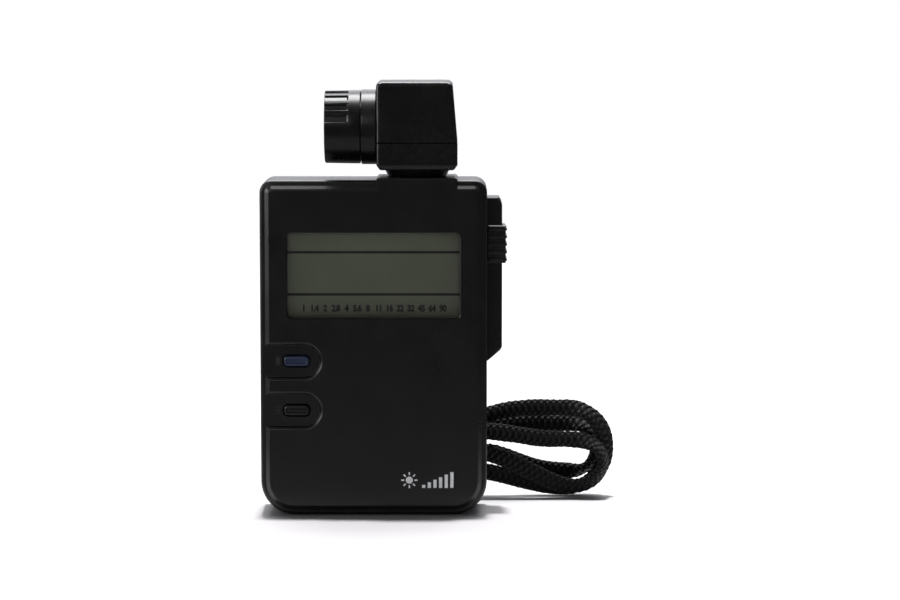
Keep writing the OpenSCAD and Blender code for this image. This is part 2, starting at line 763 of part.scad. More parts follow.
module mount_ring() color([0.08, 0.08, 0.085]) {
    difference() {
        union() {
            rod_x(mount_r, ring_out + 0.3, head_front, 0, axis_z);
            rod_x(mount_r - 0.3, ring_out, ring_out + 0.35, 0, axis_z);
            rod_x(spigot_r, head_front - 1, head_front + 4.5, 0, axis_z);
        }
        rod_x(bayonet_r, ring_out - 1, head_front - 0.9, 0, axis_z);
        rod_x(6.0, ring_out, head_front + 6, 0, axis_z);
        rod_x(lug_r + 0.1, ring_out + 1.2, ring_out + 2.4, 0, axis_z);
        for (k = [0 : 2]) {
            ring_sector(bayonet_r - 0.5, lug_r + 0.3, ring_out - 1, ring_out + 1.8, 120 * k + 50, 34);
        }
    }
}

module mount_nut() color([0.6, 0.6, 0.6]) {
    difference() {
        rod_x(9.2, head_front + head_wall + 0.05, head_front + head_wall + 2, 0, axis_z, $fn = 64);
        rod_x(spigot_r + 0.02, head_front, head_front + 6, 0, axis_z);
    }
}

module sensor_filter() color([0.35, 0.6, 0.62, 0.5]) {
    rod_x(5.9, head_front + 0.6, head_front + 1.6, 0, axis_z);
}

module sensor_cell() color([0.2, 0.2, 0.25]) {
    rod_x(3.2, head_front + 2.4, head_front + 4.0, 0, axis_z);
}

module sensor_board() color([0.1, 0.34, 0.2]) {
    rod_x(5.8, head_front + 4.0, head_front + 5.0, 0, axis_z);
}

// Lead from the sensor board to the turret's axis and down into the case
module sensor_lead() color([0.5, 0.5, 0.52]) {
    z = axis_z - 2.4;
    lead_r = 0.9;
    lead_bend = 2.5;
    rod_x(lead_r, head_front + 5.0, neck_x - lead_bend, 0, z);
    translate([neck_x - lead_bend, 0, z - lead_bend]) rotate([90, 0, 0]) {
        rotate_extrude(angle = 90) translate([lead_bend, 0]) circle(lead_r);
    }
    rod_z(lead_r, connector_top + 0.02, z - lead_bend, neck_x, 0);
}

// ---------------------------------------------------------------- attachment

module attachment_barrel() color([0.08, 0.08, 0.085]) {
    difference() {
        union() {
            rod_x(barrel_r1, barrel_out + 0.4, barrel_in, 0, axis_z, r2 = barrel_r2);
            rod_x(barrel_r1 - 0.4, barrel_out, barrel_out + 0.45, 0, axis_z, r2 = barrel_r1);
            rod_x(bayonet_r - 0.12, barrel_in - 0.1, ring_out + 2.3, 0, axis_z);
            for (k = [0 : 2]) {
                ring_sector(bayonet_r - 0.4, lug_r, ring_out + 1.3, ring_out + 2.2, 120 * k + 10, 28);
            }
        }
        rod_x(hood_r, barrel_out - 1, barrel_out + 5.4, 0, axis_z);
        rod_x(6.9, barrel_out + 5, barrel_out + 8.6, 0, axis_z);
        rod_x(5.6, barrel_out + 8, ring_out + 3, 0, axis_z);
        for (side = [0, 180], k = [-1.5 : 1 : 1.5]) {
            ring_sector(barrel_r1 - 0.55, barrel_r1 + 1, barrel_out - 0.5, barrel_out + 7,
                side + flute_mid + flute_pitch * k, flute_a);
        }
    }
}

module attachment_lens() color([0.7, 0.75, 0.85, 0.5]) {
    rod_x(6.85, barrel_out + 6.2, barrel_out + 8.1, 0, axis_z);
    intersection() {
        rod_x(6.85, barrel_out + 5, barrel_out + 8.1, 0, axis_z);
        translate([barrel_out + 25.2, 0, axis_z]) sphere(r = 20, $fn = 128);
    }
}

module lens_retainer() color([0.1, 0.1, 0.11]) {
    difference() {
        rod_x(hood_r - 0.05, barrel_out + 4.2, barrel_out + 5.38, 0, axis_z);
        rod_x(5.6, barrel_out + 3, barrel_out + 6, 0, axis_z);
    }
}

// ---------------------------------------------------------------- strap

module strap_pin() color([0.75, 0.75, 0.76]) {
    rod_z(eye_pin_r, eye_z - eye_h / 2 - 0.9, eye_z + eye_h / 2 + 0.9, eye_x, eye_pin_y);
}

module strap_loop() color([0.03, 0.03, 0.03]) {
    translate([eye_x, eye_pin_y, eye_z]) rotate(180) {
        rotate_extrude(angle = 180) translate([loop_r, 0]) circle(loop_cord_r);
    }
    for (s = [-1, 1]) {
        x = eye_x + s * loop_r;
        rod_y(loop_cord_r, eye_pin_y, eye_pin_y + loop_out, x, eye_z);
        translate([x, eye_pin_y + loop_out, eye_z - loop_bend]) rotate([90, 0, 90]) {
            rotate_extrude(angle = 90) translate([loop_bend, 0]) circle(loop_cord_r);
        }
        rod_z(loop_cord_r, clamp_z1, eye_z - loop_bend, x, clamp_y);
    }
}

module strap_clamp() color([0.05, 0.05, 0.05]) {
    translate([eye_x, clamp_y, clamp_z0]) linear_extrude(height = clamp_z1 - clamp_z0) {
        round_rect(clamp_w, clamp_d, 1.6);
    }
}

module strap_front_turn() color([0.03, 0.03, 0.03]) strap_tube(front_route);

module strap_lead() color([0.03, 0.03, 0.03]) strap_tube(lead_route);

// Places a shape drawn in the hank's own plane, its front on the plane and its foot on the floor
module hank_frame() translate([0, hank_y, 0]) rotate([hank_lean, 0, 0]) children();

module strap_hank() color([0.03, 0.03, 0.03]) {
    r = hank_h / 2;
    hank_frame() along_y(0, hank_d) difference() {
        union() {
            translate([hank_x0 + r, 0]) square([hank_x1 - hank_x0 - 2 * r, hank_h]);
            for (x = [hank_x0 + r, hank_x1 - r]) translate([x, r]) circle(r);
        }
        translate([tie_x, waist_low - waist_low_r]) circle(waist_low_r, $fn = 180);
        translate([tie_x, waist_top + waist_top_r]) circle(waist_top_r, $fn = 180);
    }
}

module strap_tie() color([0.04, 0.04, 0.04]) {
    hank_frame() along_x(tie_x - tie_w / 2, tie_x + tie_w / 2) translate(tie_mid) difference() {
        round_rect(tie_d, tie_h, 3);
        round_rect(tie_d - 2 * tie_wall, tie_h - 2 * tie_wall, 3 - tie_wall);
    }
}

// ---------------------------------------------------------------- nodes

front_cover();
rear_cover();
display_window();
lcd_panel();
lcd_frame();
lcd_connectors();
main_board();
board_components();
sensor_connector();
key_switches();
measure_switch();
mode_switch();
board_screws();
case_screws();
sync_socket();
sync_insulator();
sync_contact();
battery_cell();
battery_spring();
battery_contacts();
battery_door();
iso_key();
mode_key();
mode_slide();
mode_switch_lever();
measure_button();
friction_washer();
swivel_turret();
turret_screws();
head_base();
head_cover();
head_screws();
mount_ring();
mount_nut();
sensor_filter();
sensor_cell();
sensor_board();
sensor_lead();
attachment_barrel();
attachment_lens();
lens_retainer();
strap_pin();
strap_loop();
strap_clamp();
strap_front_turn();
strap_lead();
strap_hank();
strap_tie();
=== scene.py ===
"""The looks of a handheld light meter: moulded case, display, keys, swivel head, lens attachment and braided strap.

Sizes are in millimetres in the object's own frame: X right, Y back, Z up, origin in the middle of the flat base.
"""

import math

import bmesh
import bpy
import numpy as np
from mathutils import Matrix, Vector


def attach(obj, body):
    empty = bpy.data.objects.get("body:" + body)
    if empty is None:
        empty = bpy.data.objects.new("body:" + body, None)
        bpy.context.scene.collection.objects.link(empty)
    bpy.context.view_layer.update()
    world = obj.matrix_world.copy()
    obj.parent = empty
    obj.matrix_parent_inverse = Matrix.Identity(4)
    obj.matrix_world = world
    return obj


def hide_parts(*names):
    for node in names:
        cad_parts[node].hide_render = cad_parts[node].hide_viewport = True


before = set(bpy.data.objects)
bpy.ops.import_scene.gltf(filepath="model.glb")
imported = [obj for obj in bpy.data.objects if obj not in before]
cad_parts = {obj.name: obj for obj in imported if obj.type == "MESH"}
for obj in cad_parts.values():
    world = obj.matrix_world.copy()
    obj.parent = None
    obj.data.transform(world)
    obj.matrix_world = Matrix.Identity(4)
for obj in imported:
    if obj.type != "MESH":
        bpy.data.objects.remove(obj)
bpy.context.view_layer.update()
MM = 0.001
scene = bpy.context.scene

# ---- sizes, as the model has them

BODY_W, BODY_H, WALL = 66.2, 98.2, 1.6
TOP_R, BOTTOM_R, BACK_R = 3.6, 9.9, 1.0
FRONT_Y, INNER_Y, LEDGE_Y, SPLIT_Y, BACK_Y = -11.0, -9.0, -9.8, -3.0, 11.0
OUTSIDE = -40.0  # left of the whole case, where the cutters that are open to the left begin
NECK_X, PLATFORM_W, PLATFORM_Z, PLATFORM_TOP, PLATFORM_R = 12.7, 23.6, 93, 98.9, 0.7
WINDOW_W, WINDOW_H, WINDOW_Z = 50.3, 24.9, 70.4
BAY_X, BAY_R = -20.3, 4.6
KEY_X, KEY_W, KEY_H, KEY_GAP, KEY_SIGN_X = -22.5, 7.4, 3.1, 0.3, -27.9
KEY_ZS = {"iso_key": 45.4, "mode_key": 30.9}
GRIP_X, GRIP_LOW, GRIP_TOP, GRIP_MID = 37.65, 43.9, 92.6, 68.3
DISH_R = 60
BUTTON_AT, BUTTON_SIZE, BUTTON_R = (5.5, 60), (6, 14), 2.99
SLIDE_X, SLIDE_Y, SLIDE_Z = (33.25, 38.7), (-1.0, 9.4), (73.3, 84.3)
SLIDE_RIBS, SLIDE_RIB_PITCH, SLIDE_RIB_W = 5, 2.25, 0.8
STEM_Y, STEM_Z, SLIDE_TRAVEL = (2.0, 4.0), (77.3, 80.3), 2.6
SYNC_Y, SYNC_Z = 3, 70
DOOR_X, DOOR_LOW, DOOR_TOP, DOOR_GAP = 26.0, 11.0, 27.0, 0.15
FLANGE_X, FLANGE_Y, FLANGE_LOW, FLANGE_TOP = 27.9, (8.5, 9.25), 10.1, 27.9
DISPLAY_Y, DISPLAY_LINE_ZS, STOPS_Z = -8.2, (77.1, 64.75), 60.75
HEAD_LOW, HEAD_TOP, SEAM_Z, AXIS_Z = 101.1, 126.8, 109.0, 113.3
HEAD_X0, HEAD_X1, HEAD_W, HEAD_LEAN, HEAD_SCREW_Y = 0.9, 24.5, 22.6, 1.5, 7.6
RING_OUT = HEAD_X0 - 4.55
BARREL_IN = RING_OUT - 0.2
BARREL_L, BARREL_R1, BARREL_R2 = 10.4, 10.6, 10.75
BARREL_OUT = BARREL_IN - BARREL_L
RING_R, RECEPTOR_R = 10.95, 7.5
FLUTE_GROUPS, FLUTES, FLUTE_PITCH, FLUTE_W, FLUTE_EDGE = (45.0, 225.0), 4, 19.5, 11.5, 1.5  # degrees
SCREWS = [(-27.2, 91.2), (27.2, 91.2), (-25.2, 7.2), (25.2, 7.2)]
EYE_X, EYE_Z, EYE_PIN_Y = 25.0, 53.0, 9.0
STRAP_W, STRAP_T = 4.8, 2.6
HANK_LEAN, HANK_Y = 9.0, 24.0
CLAMP_Y, CLAMP_Z0, CLAMP_Z1 = 16.0, 40.0, 48.0

# ---- camera

CAMERA_LENS, CAMERA_PLACE, CAMERA_AIM = 121.6, (0.0223, -0.891, 0.152), (0.0223, -0.011, 0.0634)


def linked(name, data):
    obj = bpy.data.objects.new(name, data)
    scene.collection.objects.link(obj)
    return obj


def aimed(name, data, place, aim):
    """A camera or light at a place, turned to look at a point."""
    obj = linked(name, data)
    obj.location = place
    obj.rotation_euler = (Vector(aim) - Vector(place)).to_track_quat("-Z", "Y").to_euler()
    return obj


def add_camera():
    """The photograph's view: from the front, a little above, with a long lens."""
    data = bpy.data.cameras.new("camera")
    data.sensor_width = 36
    data.lens = CAMERA_LENS
    scene.camera = aimed("camera", data, CAMERA_PLACE, CAMERA_AIM)


add_camera()

# ---- mesh helpers


def new_object(name, verts, faces):
    """A mesh object from points in millimetres, its faces turned outwards."""
    mesh = bpy.data.meshes.new(name)
    mesh.from_pydata([(x * MM, y * MM, z * MM) for x, y, z in verts], [], faces)
    bm = bmesh.new()
    bm.from_mesh(mesh)
    bmesh.ops.recalc_face_normals(bm, faces=bm.faces)
    bm.to_mesh(mesh)
    bm.free()
    return linked(name, mesh)


def loft(name, rings, closed=False):
    """A solid through rings of equally many points, capped unless the rings close on themselves."""
    count = len(rings[0])
    verts = [p for ring in rings for p in ring]
    steps = len(rings) if closed else len(rings) - 1
    faces = []
    for i in range(steps):
        a, b = i * count, ((i + 1) % len(rings)) * count
        faces += [(a + k, a + (k + 1) % count, b + (k + 1) % count, b + k) for k in range(count)]
    if not closed:
        faces += [tuple(range(count)), tuple(range((len(rings) - 1) * count, len(rings) * count))]
    return new_object(name, verts, faces)


def block(name, low, high):
    (x0, y0, z0), (x1, y1, z1) = low, high
    rings = [[(x0, y, z0), (x1, y, z0), (x1, y, z1), (x0, y, z1)] for y in (y0, y1)]
    return loft(name, rings)


def across(axis, at, u, v):
    """The point (u, v) on the plane across an axis at a position."""
    return {"x": (at, u, v), "y": (u, at, v), "z": (u, v, at)}[axis]


def circle(centre, axis, r, at, count=64):
    """Points round a circle on the plane across an axis."""
    angles = [2 * math.pi * k / count for k in range(count)]
    return [across(axis, at, centre[0] + r * math.cos(a), centre[1] + r * math.sin(a)) for a in angles]


def turned(name, axis, centre, profile, count=64, closed=False):
    """A turned solid: the profile is (position along the axis, radius) pairs."""
    return loft(name, [circle(centre, axis, r, at, count) for at, r in profile], closed)


def rounded(corners, steps):
    """Points round four corners, each (centre, centre, radius), from the lower right one on."""
    points = []
    for start, (cx, cz, r) in zip((-90, 0, 90, 180), corners):
        for k in range(steps + 1):
            a = math.radians(start + 90 * k / steps)
            points.append((cx + r * math.cos(a), cz + r * math.sin(a)))
    return points


def round_rect(cx, cz, w, h, r, steps=8):
    """Points of a rectangle with round corners, as pairs."""
    dx, dz = w / 2 - r, h / 2 - r
    return rounded(((cx + dx, cz - dz, r), (cx + dx, cz + dz, r), (cx - dx, cz + dz, r), (cx - dx, cz - dz, r)), steps)


def pill(name, axis, centre, size, r, profile, least=0.0):
    """A rounded rectangle carried along an axis: the profile is (position, growth) pairs."""
    rings = []
    for at, grow in profile:
        outline = round_rect(*centre, size[0] + 2 * grow, size[1] + 2 * grow, max(r + grow, least))
        rings.append([across(axis, at, u, v) for u, v in outline])
    return loft(name, rings)


def arc_profile(start, end, steps=6):
    """A quarter round between two (position, inset) pairs; it leaves start along the position."""
    (p0, i0), (p1, i1) = start, end
    turns = [math.radians(90 * k / steps) for k in range(steps + 1)]
    return [(p0 + (p1 - p0) * math.sin(t), i0 + (i1 - i0) * (1 - math.cos(t))) for t in turns]


def boolean(obj, operation, *tools):
    for tool in tools:
        modifier = obj.modifiers.new("cut", "BOOLEAN")
        modifier.operation = operation
        modifier.solver = "EXACT"
        modifier.object = tool
        depsgraph = bpy.context.evaluated_depsgraph_get()
        mesh = bpy.data.meshes.new_from_object(obj.evaluated_get(depsgraph))
        obj.modifiers.remove(modifier)
        old = obj.data
        obj.data = mesh
        bpy.data.meshes.remove(old)
        bpy.data.objects.remove(tool)
    return obj


def cut(obj, *tools):
    return boolean(obj, "DIFFERENCE", *tools)


def join(obj, *tools):
    return boolean(obj, "UNION", *tools)


def smooth(obj, angle=32):
    mesh = obj.data
    mesh.polygons.foreach_set("use_smooth", [True] * len(mesh.polygons))
    mesh.set_sharp_from_angle(angle=math.radians(angle))
    weighted = obj.modifiers.new("weighted", "WEIGHTED_NORMAL")
    weighted.keep_sharp = True
    weighted.weight = 60
    return obj


def bevel(obj, width, segments=3, angle=35):
    modifier = obj.modifiers.new("bevel", "BEVEL")
    modifier.width = width * MM
    modifier.segments = segments
    modifier.limit_method = "ANGLE"
    modifier.angle_limit = math.radians(angle)
    modifier.harden_normals = True
    return obj


# ---- materials


def linear(r, g, b):
    """sRGB from 0 to 255 as scene colour."""

    def one(c):
        c /= 255
        return c / 12.92 if c <= 0.04045 else ((c + 0.055) / 1.055) ** 2.4

    return (one(r), one(g), one(b), 1.0)


def tinted(colour, factor, lift=0.0):
    """A colour made lighter or darker."""
    return tuple(min(1.0, c * factor + lift) for c in colour[:3]) + (1.0,)


class Paint:
    """A node material on one Principled shader, with helpers that add nodes to it."""

    def __init__(self, name, colour, roughness, metallic=0.0):
        self.material = bpy.data.materials.new(name)
        self.material.use_nodes = True
        self.nodes = self.material.node_tree.nodes
        self.links = self.material.node_tree.links
        self.shader = self.nodes["Principled BSDF"]
        self.shader.inputs["Base Color"].default_value = colour
        self.shader.inputs["Roughness"].default_value = roughness
        self.shader.inputs["Metallic"].default_value = metallic
        self.normal = None

    def node(self, kind, **inputs):
        node = self.nodes.new("ShaderNode" + kind)
        for key, value in inputs.items():
            node.inputs[key.replace("_", " ")].default_value = value
        return node

    def coords(self, kind="Object"):
        return self.node("TexCoord").outputs[kind]

    def noise(self, scale, detail=3.0, roughness=0.55, stretch=None):
        texture = self.node("TexNoise", Scale=scale, Detail=detail, Roughness=roughness)
        source = self.coords()
        if stretch:
            mapping = self.node("Mapping", Scale=stretch)
            self.links.new(source, mapping.inputs["Vector"])
            source = mapping.outputs["Vector"]
        self.links.new(source, texture.inputs["Vector"])
        return texture.outputs["Fac"]

    def remap(self, value, low, high, out_low=0.0, out_high=1.0):
        node = self.node("MapRange")
        for socket, number in zip(node.inputs[1:5], (low, high, out_low, out_high)):
            socket.default_value = number
        self.links.new(value, node.inputs["Value"])
        return node.outputs["Result"]

    def feed(self, socket, value):
        """Sets a socket's number or colour, or links it."""
        if isinstance(value, (int, float, tuple)):
            socket.default_value = value
        else:
            self.links.new(value, socket)

    def math(self, operation, a, b=None):
        node = self.node("Math")
        node.operation = operation
        self.feed(node.inputs[0], a)
        if b is not None:
            self.feed(node.inputs[1], b)
        return node.outputs["Value"]

    def times(self, a, b):
        return self.math("MULTIPLY", a, b)

    def mix(self, factor, a, b):
        node = self.node("Mix")
        node.data_type = "RGBA"
        colours = [s for s in node.inputs if s.type == "RGBA"]
        for socket, value in zip((node.inputs["Factor"], *colours), (factor, a, b)):
            self.feed(socket, value)
        return [s for s in node.outputs if s.type == "RGBA"][0]

    def bump(self, height, depth, strength=1.0):
        """Adds a bump; depth is in millimetres."""
        node = self.node("Bump", Strength=strength, Distance=depth * MM)
        self.links.new(height, node.inputs["Height"])
        if self.normal:
            self.links.new(self.normal, node.inputs["Normal"])
        self.normal = node.outputs["Normal"]
        self.links.new(self.normal, self.shader.inputs["Normal"])

    def rough(self, value):
        self.links.new(value, self.shader.inputs["Roughness"])

    def colourise(self, value):
        self.links.new(value, self.shader.inputs["Base Color"])


def moulded(name, colour, roughness, grain=0.02, worn=0.35):
    """Moulded plastic: fine grain, faint polish marks, rubbed edges and dust specks."""
    p = Paint(name, colour, roughness)
    cloud = p.noise(90, 4)
    p.rough(p.remap(cloud, 0.3, 0.7, roughness - 0.05, roughness + 0.06))
    geometry = p.node("NewGeometry")
    edge = p.remap(geometry.outputs["Pointiness"], 0.52, 0.6, 0.0, worn)
    rubbed = p.times(edge, p.remap(p.noise(700, 3), 0.4, 0.65))
    clouded = p.mix(p.remap(cloud, 0.3, 0.7), colour, tinted(colour, 1.25))
    body = p.mix(rubbed, clouded, tinted(colour, 3, 0.02))
    specks = p.node("TexVoronoi", Scale=420.0, Randomness=1.0)
    p.links.new(p.coords(), specks.inputs["Vector"])
    near = p.remap(specks.outputs["Distance"], 0.03, 0.05, 1.0, 0.0)
    dust = p.times(near, p.remap(p.noise(160, 2), 0.6, 0.66, 0.0, 0.5))
    p.colourise(p.mix(dust, body, (0.25, 0.25, 0.25, 1.0)))
    p.bump(p.noise(3600, 2), grain, 0.6)
    p.bump(p.noise(240, 2), 0.01, 0.3)
    return p.material


def smooth_plastic(name, colour, roughness=0.3):
    """Polished plastic or paint, slightly cloudy in colour and gloss."""
    p = Paint(name, colour, roughness)
    p.colourise(p.mix(p.remap(p.noise(260, 3), 0.3, 0.7), colour, tinted(colour, 1.18)))
    p.rough(p.remap(p.noise(500, 3), 0.3, 0.7, roughness - 0.05, roughness + 0.08))
    p.bump(p.noise(1800, 2), 0.008, 0.5)
    return p.material


def metal(name, colour, roughness=0.28, stretch=(1, 1, 8)):
    """Metal with drawn or rolled lines."""
    p = Paint(name, colour, roughness, 1.0)
    lines = p.noise(900, 4, stretch=stretch)
    p.rough(p.remap(lines, 0.3, 0.7, roughness - 0.08, roughness + 0.12))
    p.colourise(p.mix(p.remap(lines, 0.3, 0.7), tinted(colour, 0.86), colour))
    p.bump(lines, 0.006, 0.5)
    return p.material


def clear(name, colour, alpha, roughness):
    """Clear moulding or glass with faint smears."""
    p = Paint(name, colour, roughness)
    p.shader.inputs["IOR"].default_value = 1.49
    p.rough(p.remap(p.noise(120, 4), 0.4, 0.7, roughness, roughness + 0.1))
    p.bump(p.noise(60, 2), 0.004, 0.3)
    p.shader.inputs["Alpha"].default_value = alpha
    p.material.surface_render_method = "BLENDED"
    return p.material


def display_material():
    """Reflective display: grey-green, cloudy, with the faint grid of its segments."""
    tone, cell = linear(92, 97, 79), 1.56 * MM
    p = Paint("lcd_glass", tone, 0.42)
    cloud = p.remap(p.noise(45, 3), 0.3, 0.7)
    place = p.node("SeparateXYZ")
    p.links.new(p.coords(), place.inputs["Vector"])
    grid = p.times(p.math("PINGPONG", place.outputs["X"], cell), 1 / cell)
    cells = p.remap(grid, 0.9, 0.97, 0.0, 0.06)
    p.colourise(p.mix(cells, p.mix(cloud, tinted(tone, 0.86), tone), linear(60, 62, 54)))
    p.bump(p.noise(2500, 2), 0.004, 0.4)
    return p.material


def ink(name, colour):
    """Screen ink, a little uneven."""
    p = Paint(name, colour, 0.5)
    p.colourise(p.mix(p.remap(p.noise(2600, 2), 0.35, 0.6), tinted(colour, 0.8), colour))
    p.bump(p.noise(3000, 2), 0.003, 0.3)
    return p.material


def braid_material():
    """Flat tubular braid: crossing yarns in the strap's own coordinates, each of fine strands; its colour has painted
    shade in the crevices and a painted highlight on the floats' crowns.
    """
    # dark is the painted shade of the crevices, light the painted highlight of the floats' crowns
    dark, light = linear(3, 3, 3), linear(31, 31, 32)
    p = Paint("strap_braid", dark, 0.62)
    p.shader.inputs["Specular IOR Level"].default_value = 0.2
    p.shader.inputs["Sheen Weight"].default_value = 0.02
    p.shader.inputs["Sheen Roughness"].default_value = 0.5
    place = p.node("SeparateXYZ")
    p.links.new(p.coords("UV"), place.inputs["Vector"])
    crossing = [p.math(how, place.outputs["X"], place.outputs["Y"]) for how in ("ADD", "SUBTRACT")]
    one, two = (p.math("SUBTRACT", p.math("FRACT", c), 0.5) for c in crossing)
    parity = p.math("MODULO", p.math("ADD", *(p.math("FLOOR", c) for c in crossing)), 2.0)
    odd = p.math("GREATER_THAN", p.math("ABSOLUTE", parity), 0.5)
    even = p.math("SUBTRACT", 1.0, odd)
    side = p.math("ADD", p.times(one, odd), p.times(two, even))
    along = p.math("ADD", p.times(two, odd), p.times(one, even))
    crown = p.math("SUBTRACT", 1.0, p.times(4.0, p.times(side, side)))
    floats = p.times(crown, p.math("COSINE", p.times(along, 0.8 * math.pi)))
    strand = p.math("ABSOLUTE", p.math("SINE", p.times(side, 4 * math.pi)))
    fibre = p.noise(5200, 2)
    # Colour: painted shade in the crevices between floats and between the fine strands, and a painted highlight on the
    # crowns; the fibre and cloud noise are the yarn's own uneven tone.
    tone = p.times(p.remap(floats, 0.3, 0.95), p.remap(fibre, 0.3, 0.7, 0.55, 1.15))
    tone = p.times(tone, p.remap(strand, 0.0, 1.0, 0.7, 1.0))
    tone = p.times(tone, p.remap(p.noise(90, 3), 0.3, 0.7, 0.7, 1.1))
    p.colourise(p.mix(tone, dark, light))
    p.bump(floats, 0.3, 1.0)
    p.bump(strand, 0.06, 0.6)
    p.bump(fibre, 0.05, 0.5)
    return p.material


M = {
    "case": moulded("case_plastic", linear(10, 10, 11), 0.31),
    "head": moulded("head_plastic", linear(5, 5, 6), 0.26),
    "control": moulded("control_plastic", linear(13, 13, 14), 0.32, 0.01),
    "blue": smooth_plastic("key_blue", linear(26, 38, 64), 0.3),
    "pane": clear("window_pane", (0.02, 0.02, 0.02, 1), 0.1, 0.06),
    "lcd": display_material(),
    "segment": ink("segment_ink", linear(8, 8, 8)),
    "white_ink": ink("white_ink", linear(228, 230, 232)),
    "grey_ink": ink("grey_ink", linear(34, 34, 37)),
    "white": smooth_plastic("white_plastic", linear(214, 213, 206), 0.45),
    "zebra": smooth_plastic("zebra_rubber", linear(72, 40, 46), 0.7),
    "board": smooth_plastic("board_green", linear(28, 86, 58), 0.32),
    "part": smooth_plastic("component_black", linear(36, 36, 38), 0.55),
    "steel": metal("spring_steel", linear(176, 177, 180), 0.3),
    "screw": metal("black_screw", linear(62, 62, 66), 0.38, (1, 1, 1)),
    "nickel": metal("nickel", linear(205, 204, 200), 0.16),
    "brass": metal("contact_brass", linear(205, 168, 94), 0.25),
    "cell": smooth_plastic("cell_jacket", linear(70, 78, 96), 0.3),
    "lens": clear("lens_glass", (0.5, 0.55, 0.7, 1), 0.22, 0.03),
    "photo": smooth_plastic("photo_cell", linear(40, 40, 62), 0.12),
    "lead": smooth_plastic("lead_jacket", linear(74, 74, 76), 0.6),
    "braid": braid_material(),
    "fitting": smooth_plastic("strap_fitting", linear(26, 26, 27), 0.5),
}


def dress(obj, material, body=None, replaces=()):
    """Gives a piece its material, and a new piece its body and the CAD nodes it stands for."""
    obj.data.materials.clear()
    obj.data.materials.append(M[material])
    if body:
        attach(obj, body)
    if replaces:
        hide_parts(*replaces)
    return obj


# ---- strap

# The front turn's route and the lead's, as the CAD model has them
FRONT_ROUTE = [
    (25, 14.6, 40), (24.9, 14.8, 37), (24, 15.2, 33.5), (21.6, 16.2, 29.8), (17.6, 17.6, 26), (12.8, 18.9, 22.7),
    (8, 19.2, 21.2), (0, 19.3, 20.6), (-8, 19.4, 20), (-14.6, 19.7, 18), (-19.2, 20.2, 14.2), (-20.6, 20.8, 9.8),
    (-18, 21.4, 5.8), (-13, 21.7, 3.9), (-7.4, 21.6, 5), (-2, 21.1, 8.6), (3, 20.5, 12.8), (8, 20, 15.6),
    (14, 20, 16.3), (22, 20, 15.8), (30, 20.1, 14.6), (36.5, 20.3, 12.8), (41, 20.6, 11), (47.6, 21, 7.6),
    (53.8, 21.3, 4.6), (58.2, 21.4, 3.4), (62.4, 21.2, 3.7), (66.2, 20.8, 5.8), (68.4, 20.4, 8.8),
    (68.8, 20, 12.2), (67.3, 19.8, 15.2), (63.8, 19.7, 17.3), (58.2, 19.7, 18), (50.1, 19.7, 18.2),
    (44.8, 19.6, 19), (38.5, 19.5, 20), (32, 19.5, 20.6), (25, 20, 21), (18, 20.9, 21.2), (12, 21.7, 21.4),
]
LEAD_ROUTE = [
    (13, 31.8, 9.4), (17.4, 32.4, 13), (21, 32.1, 17.6), (23.6, 31.5, 22.6), (24.8, 30.3, 27.4), (25, 27.6, 31),
    (25, 24, 33.6), (25, 20.6, 36.2), (25, 18.3, 38.4), (25, 17.6, 40),
]
STRAP_EXIT_Y, STRAP_END_Y, STRAP_HELD_Z = 14.6, 17.6, 44
WAIST_X, WAIST_Z = 8.0, 15.6
# How far the tie draws the runs together, and how far along: left of it, above and below its middle
PINCH_LEFT, PINCH_TOP, PINCH_LOW = (0.52, 20.0), (0.45, 27.0), (0.5, 36.0)
# Each turn in the hank's own plane: (furthest x, top, bottom, depth of its middle) at its left end, then at its right
TURNS = [
    ((-26.6, 23.6, 2.6, 2.6), (69.6, 27.2, 1.9, 2.5)),
    ((-23.2, 20.6, 5.6, 4.5), (67.0, 21.5, 6.4, 4.9)),
    ((-26.6, 23.4, 2.8, 6.7), None),
]
RUN_DEPTHS = [1.5, 3.9, 6.6]
TOP_BACK, LAST_BACK, HANK_END = 1.6, 0.8, (16, 2.6, 9.0)
BUMP_X, BUMP_UP, BUMP_REACH = 33.0, 4.4, 11.0
BRAID_ROWS, BRAID_PITCH = 6, 1.9
BRAID_SIDES, BRAID_RELIEF = 38, 0.32
BEND_TWIST = 90.0
TIE_W, TIE_AT, TIE_SIZE, TIE_R = 4.0, (3.25, 15.3), (12.4, 18.8), 2.2
CLAMP_SIZE, CLAMP_R, CLAMP_LIP, CLAMP_GROOVE_ZS = (7.2, 6.8), 1.6, 0.5, (42.2, 44.0, 45.8)
LOOP_R, LOOP_BEND, LOOP_CORD_R, LOOP_SIDES = 1.75, 3.0, 0.78, 14


def from_hank(x, deep, up):
    """A point of the hank's own leaning plane in the object's frame."""
    lean = math.radians(HANK_LEAN)
    return (
        x,
        HANK_Y + deep * math.cos(lean) - up * math.sin(lean),
        deep * math.sin(lean) + up * math.cos(lean),
    )


def pinched(x, up):
    """Height of a run near the tie, where the band draws the runs together."""
    drawn, reach = PINCH_LEFT if x < WAIST_X else PINCH_TOP if up > WAIST_Z else PINCH_LOW
    near = math.exp(-(abs((x - WAIST_X) / reach) ** 4))
    return WAIST_Z + (up - WAIST_Z) * (1 - drawn * near)


def half_turn(end, side):
    """The bend at one end, as (x, height, depth): top down at the left end, bottom up at the right."""
    far, top, low, deep = end
    r, middle = (top - low) / 2, (top + low) / 2
    flat = max(r * 0.85, 6.0)
    angles = np.linspace(0, math.pi, 11)
    return [(far + side * flat * (math.sin(a) - 1), middle - side * r * math.cos(a), deep) for a in angles]


